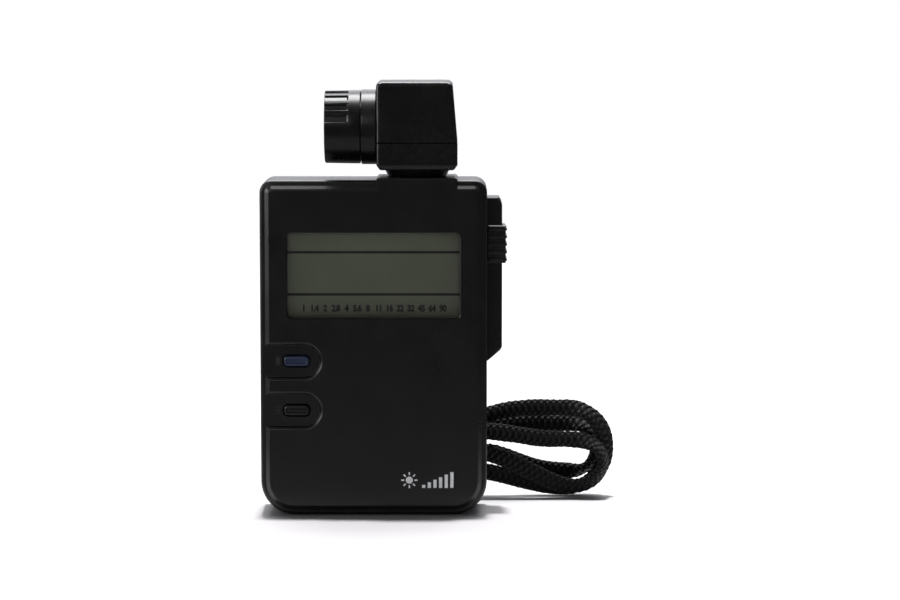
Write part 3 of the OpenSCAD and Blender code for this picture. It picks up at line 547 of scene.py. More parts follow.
def run(start, end, deep_mid, count=13):
    """A nearly straight run: its middle has its own depth, and it changes height on the left half."""
    points = []
    for t in np.linspace(0, 1, count)[1:-1]:
        from_left = t if start[0] < end[0] else 1 - t
        part = min(from_left / 0.55, 1.0)
        share = part * part * (3 - 2 * part)
        left, right = (start, end) if start[0] < end[0] else (end, start)
        hold = math.sin(math.pi * t) ** 0.7
        deep = (start[2] + (end[2] - start[2]) * t) * (1 - hold) + deep_mid * hold
        points.append((start[0] + (end[0] - start[0]) * t, left[1] + (right[1] - left[1]) * share, deep))
    return points


def hank_points():
    """The turns' middle line: round the left end, along the floor, round the right end and over the top."""
    points = []
    for number, (left, right) in enumerate(TURNS):
        points += half_turn(left, -1)
        if right is None:
            points += run(points[-1], HANK_END, RUN_DEPTHS[number] + LAST_BACK, 7)[:-1]
            break
        right_bend = half_turn(right, 1)
        bottom = run(points[-1], right_bend[0], RUN_DEPTHS[number])
        if number == 1:
            bottom = [(px, h + BUMP_UP * math.exp(-(((px - BUMP_X) / BUMP_REACH) ** 2)), d) for px, h, d in bottom]
        points += bottom + right_bend
        points += run(right_bend[-1], half_turn(TURNS[number + 1][0], -1)[0], RUN_DEPTHS[number] + TOP_BACK)
    return [from_hank(x, deep, pinched(x, up)) for x, up, deep in points]


def through(knots, count=24):
    """A smooth curve through the knots (centripetal Catmull-Rom)."""
    fine = []
    padded = np.vstack([2 * knots[0] - knots[1], knots, 2 * knots[-1] - knots[-2]])
    for i in range(1, len(padded) - 2):
        p0, p1, p2, p3 = padded[i - 1 : i + 3]
        d01, d12, d23 = (max(np.linalg.norm(b - a) ** 0.5, 1e-6) for a, b in ((p0, p1), (p1, p2), (p2, p3)))
        m1 = (p2 - p1) + d12 * ((p1 - p0) / d01 - (p2 - p0) / (d01 + d12))
        m2 = (p2 - p1) + d12 * ((p3 - p2) / d23 - (p3 - p1) / (d12 + d23))
        for t in np.linspace(0, 1, count, endpoint=False):
            weights = (2 * t**3 - 3 * t**2 + 1, t**3 - 2 * t**2 + t, 3 * t**2 - 2 * t**3, t**3 - t**2)
            fine.append(sum(weight * part for weight, part in zip(weights, (p1, m1, p2, m2))))
    return np.array(fine + [padded[-2]])


def evened(line, step):
    """The same line with evenly spaced points, and its length."""
    along = np.concatenate([[0], np.cumsum(np.linalg.norm(np.diff(line, axis=0), axis=1))])
    places = np.linspace(0, along[-1], int(along[-1] / step) + 1)
    return np.stack([np.interp(places, along, line[:, c]) for c in range(3)], axis=1), along[-1]


def eased(values, reach):
    """Values averaged along the line over reach points to either side."""
    padded = np.pad(values, ((reach, reach), (0, 0)), mode="edge")
    kernel = np.ones(2 * reach + 1) / (2 * reach + 1)
    return np.stack([np.convolve(padded[:, c], kernel, "valid") for c in range(values.shape[1])], axis=1)


def unit(rows):
    """Each row scaled to length one."""
    return rows / np.linalg.norm(rows, axis=1, keepdims=True)


def strap_line(step=0.3):
    """The whole strap's middle line from the clamp and back to it, and its length."""
    first, last = ((EYE_X, y, STRAP_HELD_Z) for y in (STRAP_EXIT_Y, STRAP_END_Y))
    knots = np.array([first] + FRONT_ROUTE + hank_points() + LEAD_ROUTE + [last], float)
    line, _ = evened(through(knots), step)
    middle = eased(line, 8)
    middle[:12], middle[-12:] = line[:12], line[-12:]
    return evened(middle, step)


def strap_frame(line, step):
    """Thin and wide direction along the line: flat to the front, but round a bend on the flat side."""
    tangent = unit(np.gradient(line, axis=0))
    bend = eased(np.gradient(tangent, step, axis=0), int(2 / step))
    turn = BEND_TWIST * bend * np.linalg.norm(bend, axis=1, keepdims=True) * np.array([1.0, 0.3, 1.0])
    thin = eased(unit(np.array([0.0, 1.0, 0.0]) + turn), int(3 / step))
    thin = unit(thin - np.sum(thin * tangent, axis=1, keepdims=True) * tangent)
    return thin, np.cross(tangent, thin)


def braid_height(u, v):
    """Height of the braid, 0 to 1: slanting yarns cross, over one and under one."""
    p, q = u + v, u - v
    a, b = p - np.floor(p) - 0.5, q - np.floor(q) - 0.5
    odd = (np.floor(p) + np.floor(q)) % 2 > 0.5
    side, along = np.where(odd, a, b), np.where(odd, b, a)
    return (1 - (2 * side) ** 2) * np.cos(math.pi * along * 0.8)


def braided_tube(name, line, half_w, half_t, sides, relief):
    """A flat tube along a line with the braid's floats raised; its UV follows the braid."""
    step = np.linalg.norm(line[1] - line[0])
    thin, wide = strap_frame(line, step)
    rng = np.random.default_rng(7)
    slack = eased(rng.normal(0, 1, (len(line), 2)), int(9 / step))
    angle = 2 * math.pi * np.arange(sides) / sides
    shape_w, shape_t = (np.copysign(np.abs(s) ** 0.7, s) for s in (np.cos(angle), np.sin(angle)))
    v = BRAID_ROWS * np.arange(sides) / sides
    rings = []
    for i, centre in enumerate(line):
        squash = 1 + 0.35 * slack[i, 0]
        height = relief * (braid_height(i * step / BRAID_PITCH, v) - 0.5)
        w, t = (half_w * squash + height) * shape_w, (half_t / squash + height) * shape_t
        ring = centre + w[:, None] * wide[i] + t[:, None] * thin[i]
        ring[:, 2] = np.maximum(ring[:, 2], 0.05)
        rings.append([tuple(p) for p in ring])
    obj = loft(name, rings)
    layer = obj.data.uv_layers.new(name="braid")
    for polygon in obj.data.polygons:
        corners = [obj.data.loops[c].vertex_index for c in polygon.loop_indices]
        seam = len(corners) == 4 and {k % sides for k in corners} == {0, sides - 1}
        for c, index in zip(polygon.loop_indices, corners):
            column = sides if seam and index % sides == 0 else index % sides
            layer.data[c].uv = (index // sides * step / BRAID_PITCH, BRAID_ROWS * column / sides)
    obj.data.polygons.foreach_set("use_smooth", [True] * len(obj.data.polygons))
    return obj


def strap_clamp():
    """The clamp that holds both ends of the strap, with three grooves."""
    lip = CLAMP_LIP
    profile = [(CLAMP_Z0, -lip), (CLAMP_Z0 + lip * 0.35, -lip * 0.3), (CLAMP_Z0 + lip, 0)]
    profile += [(CLAMP_Z1 - lip, 0), (CLAMP_Z1 - lip * 0.35, -lip * 0.3), (CLAMP_Z1, -lip)]
    clamp = pill("strap_clamp_piece", "z", (EYE_X, CLAMP_Y), CLAMP_SIZE, CLAMP_R, profile)
    outer, inner = round_rect(EYE_X, CLAMP_Y, 9, 9, 2), round_rect(EYE_X, CLAMP_Y, 6.7, 6.3, 1.4)
    for middle in CLAMP_GROOVE_ZS:
        section = [(outer, -0.35), (inner, -0.2), (inner, 0.2), (outer, 0.35)]
        rings = [[(x, y, middle + up) for x, y in outline] for outline, up in section]
        cut(clamp, loft("band", rings, closed=True))
    return dress(smooth(clamp), "fitting", "case", ["strap_clamp"])


def strap_tie():
    """A soft band round the waist of the hank, rounded in section."""
    x0, x1 = WAIST_X - TIE_W / 2, WAIST_X + TIE_W / 2
    rings = []
    for grow, x in ((0, x0 + 0.15), (0.55, x0), (0.8, x0 + 0.3), (0.8, x1 - 0.3), (0.55, x1), (0, x1 - 0.15)):
        section = round_rect(*TIE_AT, TIE_SIZE[0] + 2 * grow, TIE_SIZE[1] + 2 * grow, TIE_R + grow)
        rings.append([from_hank(x, deep, up) for deep, up in section])
    tie = smooth(loft("strap_tie_piece", rings, closed=True), 60)
    return dress(tie, "fitting", "case", ["strap_tie"])


def add_strap():
    """The braided strap with its clamp and tie."""
    clamp = strap_clamp()
    tie = strap_tie()
    line, length = strap_line()
    strap = braided_tube("strap", line, STRAP_W / 2, STRAP_T / 2 - 0.04, BRAID_SIDES, BRAID_RELIEF)
    dress(strap, "braid", "case", ["strap_front_turn", "strap_lead", "strap_hank"])


def loop_line():
    """The loop's middle line, round the eyelet's pin and back, and its length."""
    r, bend, out_y = LOOP_R, LOOP_BEND, EYE_PIN_Y + 4
    side = [(EYE_X - r, CLAMP_Y, CLAMP_Z1 + up) for up in (-6, -2, 1)]
    for a in np.linspace(0, math.pi / 2, 8):
        side.append((EYE_X - r, out_y + bend * math.cos(a), EYE_Z - bend + bend * math.sin(a)))
    side += [(EYE_X - r, y, EYE_Z) for y in (out_y - 1.3, out_y - 2.6)]
    around = [(EYE_X - r * math.cos(a), EYE_PIN_Y - r * math.sin(a), EYE_Z) for a in np.linspace(0, math.pi, 13)]
    other = [(2 * EYE_X - x, y, z) for x, y, z in reversed(side)]
    line, length = evened(np.array(side + around + other), 0.201)
    for _ in range(4):
        line[1:-1] = (line[:-2] + 2 * line[1:-1] + line[2:]) / 4
    return line, length


def add_loop():
    """The thin laid cord between the clamp and the pin."""
    line, length = loop_line()
    tangent = unit(np.gradient(line, axis=0))
    normal = np.zeros_like(line)
    normal[0] = (1, 0, 0)
    for i in range(1, len(line)):
        n = normal[i - 1] - tangent[i] * normal[i - 1].dot(tangent[i])
        normal[i] = n / np.linalg.norm(n)
    rings = []
    for i, point in enumerate(line):
        b = np.cross(tangent[i], normal[i])
        ring = []
        for k in range(LOOP_SIDES):
            a = 2 * math.pi * k / LOOP_SIDES
            h = LOOP_CORD_R + 0.035 * math.cos(3 * a + i * 0.55)
            ring.append(tuple(point + h * (math.cos(a) * normal[i] + math.sin(a) * b)))
        rings.append(ring)
    loop = smooth(loft("strap_loop_cord", rings), 70)
    dress(loop, "fitting", "case", ["strap_loop"])


add_strap()
add_loop()

# ---- case


def case_ring(y, inset, steps=10):
    """The case's outline at depth y, drawn in by inset."""
    half = BODY_W / 2 - inset
    top, low = max(TOP_R - inset, 1.3), BOTTOM_R - inset
    z0, z1 = inset + low, BODY_H - inset - top
    corners = ((half - low, z0, low), (half - top, z1, top), (top - half, z1, top), (low - half, z0, low))
    return [(x, y, z) for x, z in rounded(corners, steps)]


def case_loft(name, profile):
    """A solid on the case's outline: the profile is (depth, inset) pairs."""
    return loft(name, [case_ring(y, inset) for y, inset in profile])


def back_edge():
    """The rounded edge of the case's back, as a profile."""
    return arc_profile((BACK_Y - BACK_R, 0.0), (BACK_Y, BACK_R))


def platform(name, y0, y1, front_round):
    """The raised block under the head."""
    r = front_round
    size = (PLATFORM_W, 2 * (PLATFORM_TOP - PLATFORM_Z))
    profile = [(y0, -r), (y0 + 0.3 * r, -0.3 * r), (y0 + r, 0), (y1, 0)]
    return pill(name, "y", (NECK_X, PLATFORM_Z), size, PLATFORM_R, profile, PLATFORM_R)


def bay_cutter(z):
    """One U-shaped bay, open to the left, with a sloping edge."""
    profile = [(LEDGE_Y + 0.01, -0.3), (-9.86, -0.02), (-10.05, 0.12), (-10.35, 0.28), (-10.7, 0.56)]
    profile += [(-10.9, 0.86), (-11.0, 1.2), (-11.03, 1.38), (-11.4, 3.2)]
    rings = []
    for y, grow in profile:
        r = BAY_R + grow
        arc = [(BAY_X + r * math.cos(a), y, z + r * math.sin(a)) for a in np.linspace(-math.pi / 2, math.pi / 2, 25)]
        rings.append([(OUTSIDE, y, z - r)] + arc + [(OUTSIDE, y, z + r)])
    return loft("bay", rings)


def turret_cutter():
    """The hole that the head's neck turns in."""
    return turned("turret_hole", "z", (NECK_X, 0), [(90, 6.0), (98.6, 6.0), (99.2, 6.4)])


def add_front_shell():
    """The front shell with its stepped edge, platform, window and key bays."""
    profile = [(SPLIT_Y, 0.16), (SPLIT_Y - 0.14, 0.0)] + arc_profile((LEDGE_Y + 1.0, 0.0), (LEDGE_Y, 1.0))
    profile += [(LEDGE_Y, 1.45), (-9.88, 1.58), (-10.65, 2.35), (-10.86, 2.58), (-10.96, 2.78), (FRONT_Y, 3.05)]
    shell = case_loft("front_shell", profile)
    join(shell, platform("platform", FRONT_Y + 0.004, SPLIT_Y - 0.02, 0.35))
    cut(shell, case_loft("cavity", [(INNER_Y, WALL), (SPLIT_Y + 0.5, WALL)]))
    flare = [(-8.5, 0.0), (-10.6, 0.0), (-10.85, 0.08), (-11.02, 0.3), (-11.3, 0.7)]
    cut(shell, pill("window_hole", "y", (0, WINDOW_Z), (WINDOW_W, WINDOW_H), 1.2, flare))
    hole, edge = (KEY_W + 2 * KEY_GAP, KEY_H + 2 * KEY_GAP), [(-8.5, 0.0), (-9.62, 0.0), (-9.82, 0.12), (-10.2, 0.3)]
    for z in KEY_ZS.values():
        cut(shell, bay_cutter(z))
        cut(shell, pill("key_hole", "y", (KEY_X, z), hole, 1.55, edge))
    cut(shell, turret_cutter())
    dress(smooth(shell), "case", "case", ["front_cover"])


def grip_solid(name, inset, profile):
    """The side grip: a long slab with a sloping lower end and eased corners."""
    corners = [(29, 43.4), (32.6, GRIP_LOW), (33.6, 44.3), (37.2, 47.4), (GRIP_X, 48.4), (GRIP_X, 90.3)]
    corners += [(37.4, 91.4), (36.6, GRIP_TOP), (29, GRIP_TOP)]
    rings = []
    for y, more in profile:
        shrink = inset + more
        rings.append([(x - (shrink if x > 34 else 0), y, z - math.copysign(shrink, z - GRIP_MID)) for x, z in corners])
    return loft(name, rings)


def cut_back(shell):
    """The openings for the strap's eyelet, the screws and the battery door."""
    flare = [(6.0, 0.0), (10.5, 0.0), (10.8, 0.12), (11.02, 0.35), (11.4, 0.8)]
    cut(shell, pill("eyelet", "y", (EYE_X, EYE_Z), (7, 10), 1.0, flare))
    for place in SCREWS:
        cut(shell, turned("screw_well", "y", place, [(8.4, 2.1), (10.7, 2.1), (11.02, 2.4), (11.4, 2.8)], 32))
    cut(shell, turned("screw_hole", "y", SCREWS[0], [(0, 1.1), (9, 1.1)], 24))
    low, high = (OUTSIDE, BACK_Y - WALL - 0.6, DOOR_LOW - DOOR_GAP), (DOOR_X + DOOR_GAP, 12, DOOR_TOP + DOOR_GAP)
    cut(shell, block("door_window", low, high))
    low = (OUTSIDE, FLANGE_Y[0] - DOOR_GAP, FLANGE_LOW - DOOR_GAP)
    cut(shell, block("door_slot", low, (FLANGE_X + 0.25, FLANGE_Y[1] + DOOR_GAP, FLANGE_TOP + DOOR_GAP)))


def cut_sides(shell):
    """The openings for the sync socket, the slide and the measuring button in its dish."""
    cut(shell, turned("sync_hole", "x", (SYNC_Y, SYNC_Z), [(-33.8, 2.7), (-33.1, 2.5), (-27.4, 2.45)], 40))
    low, high = (35, STEM_Y[0] - 0.2, STEM_Z[0] - SLIDE_TRAVEL - 0.15), (39, STEM_Y[1] + 0.2, STEM_Z[1] + 0.15)
    cut(shell, block("slide_slot", low, high))
    cut(shell, turned("dish", "y", (GRIP_X + DISH_R - 0.4, BUTTON_AT[1]), [(1.0, DISH_R), (10.0, DISH_R)], 720))
    edge = [(34, 0.15), (37.2, 0.15), (37.5, 0.3), (37.8, 0.7)]
    cut(shell, pill("button_hole", "x", BUTTON_AT, BUTTON_SIZE, BUTTON_R, edge))


def add_rear_shell():
    """The rear shell with the grip, the eyelet's well and the screw bosses."""
    shell = case_loft("rear_shell", [(SPLIT_Y, 0.16), (SPLIT_Y + 0.14, 0.0)] + back_edge())
    profile = [(0.0, 0.7), (0.2, 0.25), (0.7, 0.0), (BACK_Y - 1.0, 0.0), (BACK_Y - 0.35, 0.3), (BACK_Y, 1.0)]
    join(shell, grip_solid("grip", 0.0, profile))
    join(shell, platform("platform_rear", SPLIT_Y + 0.02, BACK_Y - 1.0, 0.01))
    cut(shell, case_loft("cavity", [(SPLIT_Y - 0.5, WALL), (BACK_Y - WALL, WALL)]))
    cut(shell, grip_solid("grip_cavity", WALL, [(WALL, 0), (BACK_Y - WALL, 0)]))
    join(shell, block("well", (EYE_X - 4.7, 4.8, EYE_Z - 6.2), (EYE_X + 4.7, 9.6, EYE_Z + 6.2)))
    for place in SCREWS:
        join(shell, turned("boss", "y", place, [(1.05, 2.8), (9.6, 2.8)], 32))
    cut_back(shell)
    cut_sides(shell)
    cut(shell, turret_cutter())
    dress(smooth(shell), "case", "case", ["rear_cover"])


def add_key(node, material, relief):
    """A front key: a pill with a rounded rim and a floor that is lower by relief."""
    top = LEDGE_Y - 0.55
    profile = [(-7.65, 0.9), (-7.98, 0.9), (-7.98, 0.0), (top + 0.5, 0.0), (top + 0.2, -0.14), (top + 0.05, -0.34)]
    profile += [(top, -0.58), (top + 0.03, -0.72), (top + relief, -0.9), (top + relief, -1.05)]
    key = pill(node + "_cap", "y", (KEY_X, KEY_ZS[node]), (KEY_W, KEY_H), 1.25, profile, 0.25)
    dress(smooth(key, 40), material, node, [node])


def add_mode_rib():
    """The rib on the floor of the lower key."""
    profile = [(-9.95, 0.0), (-10.2, 0.0), (-10.3, -0.1)]
    rib = pill("mode_key_rib", "y", (KEY_X, KEY_ZS["mode_key"]), (4.9, 0.5), 0.2, profile)
    dress(smooth(rib), "control", "mode_key")


add_front_shell()
add_rear_shell()
add_key("iso_key", "blue", 0.2)
add_key("mode_key", "control", 0.32)
add_mode_rib()

# ---- head


def head_ring(z, inset, r):
    """The head's plan at height z: its right side leans in above the seam."""
    lean = HEAD_LEAN * max(z - SEAM_Z, 0) / (HEAD_TOP - SEAM_Z)
    x0, x1 = HEAD_X0 + inset, HEAD_X1 - lean - inset
    outline = round_rect((x0 + x1) / 2, 0, x1 - x0, HEAD_W - 2 * inset, r)
    return [(x, y, z) for x, y in outline]


def hollow_head(shell, z0, z1):
    """Cuts the head's inside between two heights, and the mount ring's hole."""
    cut(shell, loft("cavity", [head_ring(z, WALL, 0.6) for z in (z0, z1)]))
    cut(shell, turned("receptor_hole", "x", (0, AXIS_Z), [(HEAD_X0 - 2, RECEPTOR_R), (HEAD_X0 + 4, RECEPTOR_R)]))


def add_head_base():
    """The head's lower half, with the lead's hole and two screw wells."""
    profile = [(HEAD_LOW, 1.25), (HEAD_LOW + 0.12, 0.98), (HEAD_LOW + 1.35, 0.1), (HEAD_LOW + 1.6, 0.0)]
    profile += [(SEAM_Z - 0.16, 0.0), (SEAM_Z - 0.05, 0.14)]
    base = loft("head_base_shell", [head_ring(z, inset, 1.1) for z, inset in profile])
    hollow_head(base, HEAD_LOW + 1.6, SEAM_Z + 1)
    cut(base, turned("lead_hole", "z", (NECK_X, 0), [(100, 2.5), (104, 2.5)], 32))
    for y in (-HEAD_SCREW_Y, HEAD_SCREW_Y):
        cut(base, turned("screw_well", "z", (HEAD_X1 - 4.2, y), [(100, 1.8), (HEAD_LOW + 0.8, 1.8)], 32))
    dress(smooth(base), "head", "head", ["head_base"])


def add_head_cover():
    """The head's upper half, rounded over at the top."""
    profile = [(SEAM_Z + 0.05, 0.14), (SEAM_Z + 0.16, 0.0)]
    profile += arc_profile((HEAD_TOP - 1.5, 0.0), (HEAD_TOP, 1.4), 7)
    cover = loft("head_cover_shell", [head_ring(z, inset, 1.1 + 0.5 * inset) for z, inset in profile])
    hollow_head(cover, SEAM_Z - 1, HEAD_TOP - 2.0)
    dress(smooth(cover), "head", "head", ["head_cover"])


def add_turret():
    """The disc and neck that the head turns on."""
    neck = [(94.2, 2.5), (94.2, 7.6), (96.2, 7.6), (96.2, 5.9), (98.95, 5.9)]
    disc = [(98.95, 8.3), (99.1, 8.6), (100.85, 9.5), (101.05, 9.3), (101.05, 2.5)]
    turret = turned("turret_body", "z", (NECK_X, 0), neck + disc, 96, closed=True)
    dress(smooth(turret), "head", "head", ["swivel_turret"])


def fluted_ring(x, r, depth):
    """The barrel's section with its groups of flutes; angles run up from the front."""
    flutes = [group + FLUTE_PITCH * (k - (FLUTES - 1) / 2) for group in FLUTE_GROUPS for k in range(FLUTES)]
    points = []
    for up in np.arange(0, 360, 0.5):
        off = min(abs(up - flute) for flute in flutes)
        low = r - depth * min(1.0, max(0.0, ((FLUTE_W + FLUTE_EDGE) / 2 - off) / FLUTE_EDGE))
        a = math.radians(up)
        points.append((x, -low * math.cos(a), AXIS_Z + low * math.sin(a)))
    return points


def add_attachment():
    """The barrel: flutes outside; bayonet bore, lens seat, baffles and hood inside."""
    x0, x1, r1, r2 = BARREL_OUT, BARREL_IN, BARREL_R1, BARREL_R2
    slope = (r2 - r1) / BARREL_L
    outside = [(x0, r1 - 0.3, 0.15), (x0 + 0.1, r1 - 0.13, 0.4), (x0 + 0.35, r1, 0.5)]
    outside += [(x0 + 6.55, r1 + slope * 6.5, 0.5), (x0 + 7.05, r1 + slope * 7, 0.0), (x0 + 7.3, r2 - 0.04, 0.0)]
    outside += [(x1 - 0.25, r2, 0.0), (x1 - 0.08, r2 - 0.07, 0.0), (x1, r2 - 0.3, 0.0)]
    inside = [(x1, 8.28), (RING_OUT + 2.3, 8.28), (RING_OUT + 2.3, 5.6), (x0 + 8.6, 5.6), (x0 + 8.6, 6.9)]
    inside += [(x0 + 5.4, 6.9), (x0 + 5.4, 8.1), (x0 + 4.2, 8.1)]
    for k in range(6):
        baffle = x0 + 3.9 - 0.6 * k
        inside += [(baffle, 8.02), (baffle - 0.3, 8.14)]
    inside += [(x0 + 0.35, 8.2), (x0 + 0.08, 8.4), (x0, 8.75)]
    rings = [fluted_ring(x, r, d) for x, r, d in outside] + [fluted_ring(x, r, 0.0) for x, r in inside]
    barrel = smooth(loft("attachment_body", rings, closed=True), 28)
    dress(barrel, "head", "attachment", ["attachment_barrel"])


def add_mount_ring():
    """The ring on the head, with its seat and the bayonet's groove."""
    out, head, r = RING_OUT, HEAD_X0, RING_R
    profile = [(out, 8.45), (out, r - 0.45), (out + 0.12, r - 0.13), (out + 0.4, r)]
    profile += [(head - 0.35, r), (head - 0.2, r - 0.15), (head - 0.02, r - 0.2)]
    profile += [(head - 0.02, 7.4), (head + 4.5, 7.4), (head + 4.5, 6.0), (head - 0.9, 6.0), (head - 0.9, 8.4)]
    profile += [(out + 2.4, 8.4), (out + 2.4, 9.1), (out + 1.2, 9.1), (out + 1.2, 8.4)]
    ring = turned("mount_ring_body", "x", (0, AXIS_Z), profile, 128, closed=True)
    dress(smooth(ring), "head", "head", ["mount_ring"])


add_head_base()
add_head_cover()
add_turret()
add_attachment()
add_mount_ring()

# ---- controls on the grip, and the door


def add_slide():
    """The ribbed slide: one bent shell with ridges that run over its corner."""
    (x0, x1), (y0, y1), (z0, z1) = SLIDE_X, SLIDE_Y, SLIDE_Z
    shell = block("mode_slide_cap", (x0, y0, z0), (x1, y1, z1))
    cut(shell, block("inside", (x0 - 1, -0.06, z0 - 1), (GRIP_X + 0.06, y1 + 1, z1 + 1)))
    join(shell, block("stem", (31.0, STEM_Y[0], STEM_Z[0]), (GRIP_X + 0.2, STEM_Y[1], STEM_Z[1])))
    dress(bevel(shell, 0.25), "control", "mode_slide", ["mode_slide"])
    for k in range(SLIDE_RIBS):
        z = z0 + 0.6 + SLIDE_RIB_PITCH * k
        rib = block(f"mode_slide_rib_{k}", (x0 + 0.35, y0 - 0.35, z), (x1 + 0.35, y1 - 0.4, z + SLIDE_RIB_W))
        cut(rib, block("inside", (x0 + 0.15, y0 + 0.3, z - 1), (x1 - 0.3, y1 + 0.1, z + 2)))
        dress(bevel(rib, 0.22), "control", "mode_slide")
    # A thin white strip along the slide's top front edge.
    line = block("mode_slide_top_edge_line", (x0 + 0.45, y0 - 0.36, z1 - 0.12), (x1 - 0.2, y0 - 0.02, z1 + 0.02))
    dress(line, "white_ink", "mode_slide")


def add_measure_button():
    """The measuring button: an oblong cap and its arm."""
    profile = [(35.25, 0.9), (36.0, 0.9), (36.0, 0.0), (37.1, 0.0), (37.33, -0.1), (37.45, -0.4), (37.3, -1.6)]
    button = pill("measure_button_cap", "x", BUTTON_AT, BUTTON_SIZE, BUTTON_R - 0.005, profile)
    join(button, block("arm", (31.7, 1.9, 58.8), (35.5, 5, 61.2)))
    dress(smooth(button, 40), "control", "measure_button", ["measure_button"])


def add_door():
    """The battery door: a piece of the back on its flange, with finger ribs."""
    door = case_loft("battery_door_panel", [(FLANGE_Y[0], 0.0)] + back_edge())
    boolean(door, "INTERSECT", block("keep", (OUTSIDE, 8, DOOR_LOW + 0.02), (DOOR_X - 0.02, 12, DOOR_TOP - 0.02)))
    join(door, block("flange", (-30.7, FLANGE_Y[0], FLANGE_LOW), (FLANGE_X, FLANGE_Y[1], FLANGE_TOP)))
    dress(smooth(door), "case", "battery_door", ["battery_door"])
    for k in range(5):
        x = -26 + 2 * k
        rib = block(f"battery_door_rib_{k}", (x, 10.7, 14), (x + 1, 11.28, 24))
        dress(bevel(rib, 0.28, 4), "case", "battery_door")


add_slide()
add_measure_button()
add_door()

# ---- printing on the display and the case


INK_T = 0.02
STOPS = "1 1.4 2 2.8 4 5.6 8 11 16 22 32 45 64 90".split()
STOP_X, STOP_PITCH, STOP_SIZE, STOP_RISE = -20.4, 3.127, 2.55, 0.92
SUN_AT, SUN_R, BARS_AT, BAR_PITCH, BAR_GROWS = (10.4, 10.4), 1.05, (14.6, 8.1), 1.65, 0.76


def print_mesh(name, shapes, y, material):
    """Flat printed shapes, each a ring of (x, z) points, on the surface at y."""
    verts, faces = [], []
    for ring in shapes:
        n, base = len(ring), len(verts)
        verts += [(x, y, z) for x, z in ring] + [(x, y - INK_T, z) for x, z in ring]
        faces += [tuple(range(base, base + n)), tuple(range(base + n, base + 2 * n))]
        faces += [(base + k, base + (k + 1) % n, base + n + (k + 1) % n, base + n + k) for k in range(n)]
    dress(new_object(name, verts, faces), material, "case")


def bar_shape(x, z, w, h):
    return [(x - w / 2, z - h / 2), (x + w / 2, z - h / 2), (x + w / 2, z + h / 2), (x - w / 2, z + h / 2)]


def add_stop(k, stop):
    """One numeral of the display's scale, its strokes thickened a little."""
    curve = bpy.data.curves.new("stop", "FONT")
    curve.body = stop
    curve.size = STOP_SIZE * MM
    curve.align_x = "CENTER"
    curve.bevel_depth = 0.12 * MM
    curve.bevel_resolution = 1
    curve.space_character = 0.92
    text = linked("text", curve)
    text.location = Vector((STOP_X + STOP_PITCH * k, DISPLAY_Y - 0.015, STOPS_Z - STOP_RISE)) * MM
    text.rotation_euler = (math.pi / 2, 0, 0)
    text.scale = (0.86, 1, 1)
    bpy.context.view_layer.update()
    mesh = bpy.data.meshes.new_from_object(text.evaluated_get(bpy.context.evaluated_depsgraph_get()))
    mesh.transform(text.matrix_world)
    bpy.data.objects.remove(text)
    dress(linked(f"display_stop_{k:02d}", mesh), "segment", "case")


def add_display_print():
    """The display's two lines and its scale of f-numbers."""
    lines = [bar_shape(0, z, 55.6, 0.7) for z in DISPLAY_LINE_ZS]
    print_mesh("display_lines", lines, DISPLAY_Y, "segment")
    for k, stop in enumerate(STOPS):
        add_stop(k, stop)


def disc_shape(x, z, r, count=20):
    return [(px, pz) for px, _, pz in circle((x, z), "y", r, 0, count)]


def ray_shape(x, z, angle, r0, r1, w):
    c, s = math.cos(angle), math.sin(angle)
    corners = ((r0, -w / 2), (r1, -w / 2), (r1, w / 2), (r0, w / 2))
    return [(x + a * c - b * s, z + a * s + b * c) for a, b in corners]


def add_case_print():
    """Generic marks: a sun with rising bars, a sign beside each key, and the slide's ticks."""
    shapes = [disc_shape(*SUN_AT, SUN_R)]
    shapes += [ray_shape(*SUN_AT, math.pi * k / 4, 1.5, 2.35, 0.42) for k in range(8)]
    for k in range(6):
        height = 0.9 + BAR_GROWS * k
        shapes.append(bar_shape(BARS_AT[0] + BAR_PITCH * k, BARS_AT[1] + height / 2, 0.95, height))
    print_mesh("case_mark", shapes, FRONT_Y, "white_ink")
    x, (upper, lower), steps = KEY_SIGN_X, KEY_ZS.values(), (-1, 0, 1)
    film = [bar_shape(x, upper, 0.9, 2.4)]
    film += [bar_shape(x + 0.75 * side, upper + 0.8 * step, 0.28, 0.4) for side in (-1, 1) for step in steps]
    print_mesh("upper_key_sign", film, LEDGE_Y + 0.01, "grey_ink")
    lines = [bar_shape(x, lower + 0.9 * step, 1.6, 0.32) for step in steps]
    print_mesh("lower_key_sign", lines, LEDGE_Y + 0.01, "grey_ink")
    ticks = [bar_shape(31.7, z, 0.9, 0.3) for z in (84.0, 84.0 - SLIDE_TRAVEL)]
    print_mesh("slide_marks", ticks, LEDGE_Y + 0.6, "white_ink")


add_display_print()
add_case_print()

# ---- the CAD parts that stay

KEPT = {
    "pane": ["display_window"],
    "lcd": ["lcd_panel"],
    "white": ["lcd_frame", "sensor_connector", "sync_insulator"],
    "zebra": ["lcd_connectors"],
    "board": ["main_board", "sensor_board"],
    "part": ["board_components", "measure_switch", "mode_switch_lever"],
    "steel": [
        "key_switches", "mode_switch", "board_screws", "battery_spring", "battery_contacts", "friction_washer",
        "strap_pin", "turret_screws", "mount_nut",
    ],
    "screw": ["case_screws", "head_screws", "lens_retainer"],
    "nickel": ["sync_socket"],
    "brass": ["sync_contact"],
    "cell": ["battery_cell"],
    "lens": ["attachment_lens", "sensor_filter"],
    "photo": ["sensor_cell"],
    "lead": ["sensor_lead"],
}


def dress_kept():
    """Gives the CAD parts that stay their materials and softens their edges."""
    for material, names in KEPT.items():
        for name in names:
            node = dress(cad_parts[name], material)
            if name not in ("battery_spring", "attachment_lens", "sensor_lead"):
                bevel(node, 0.08, 2)


dress_kept()

# ---- stage and light


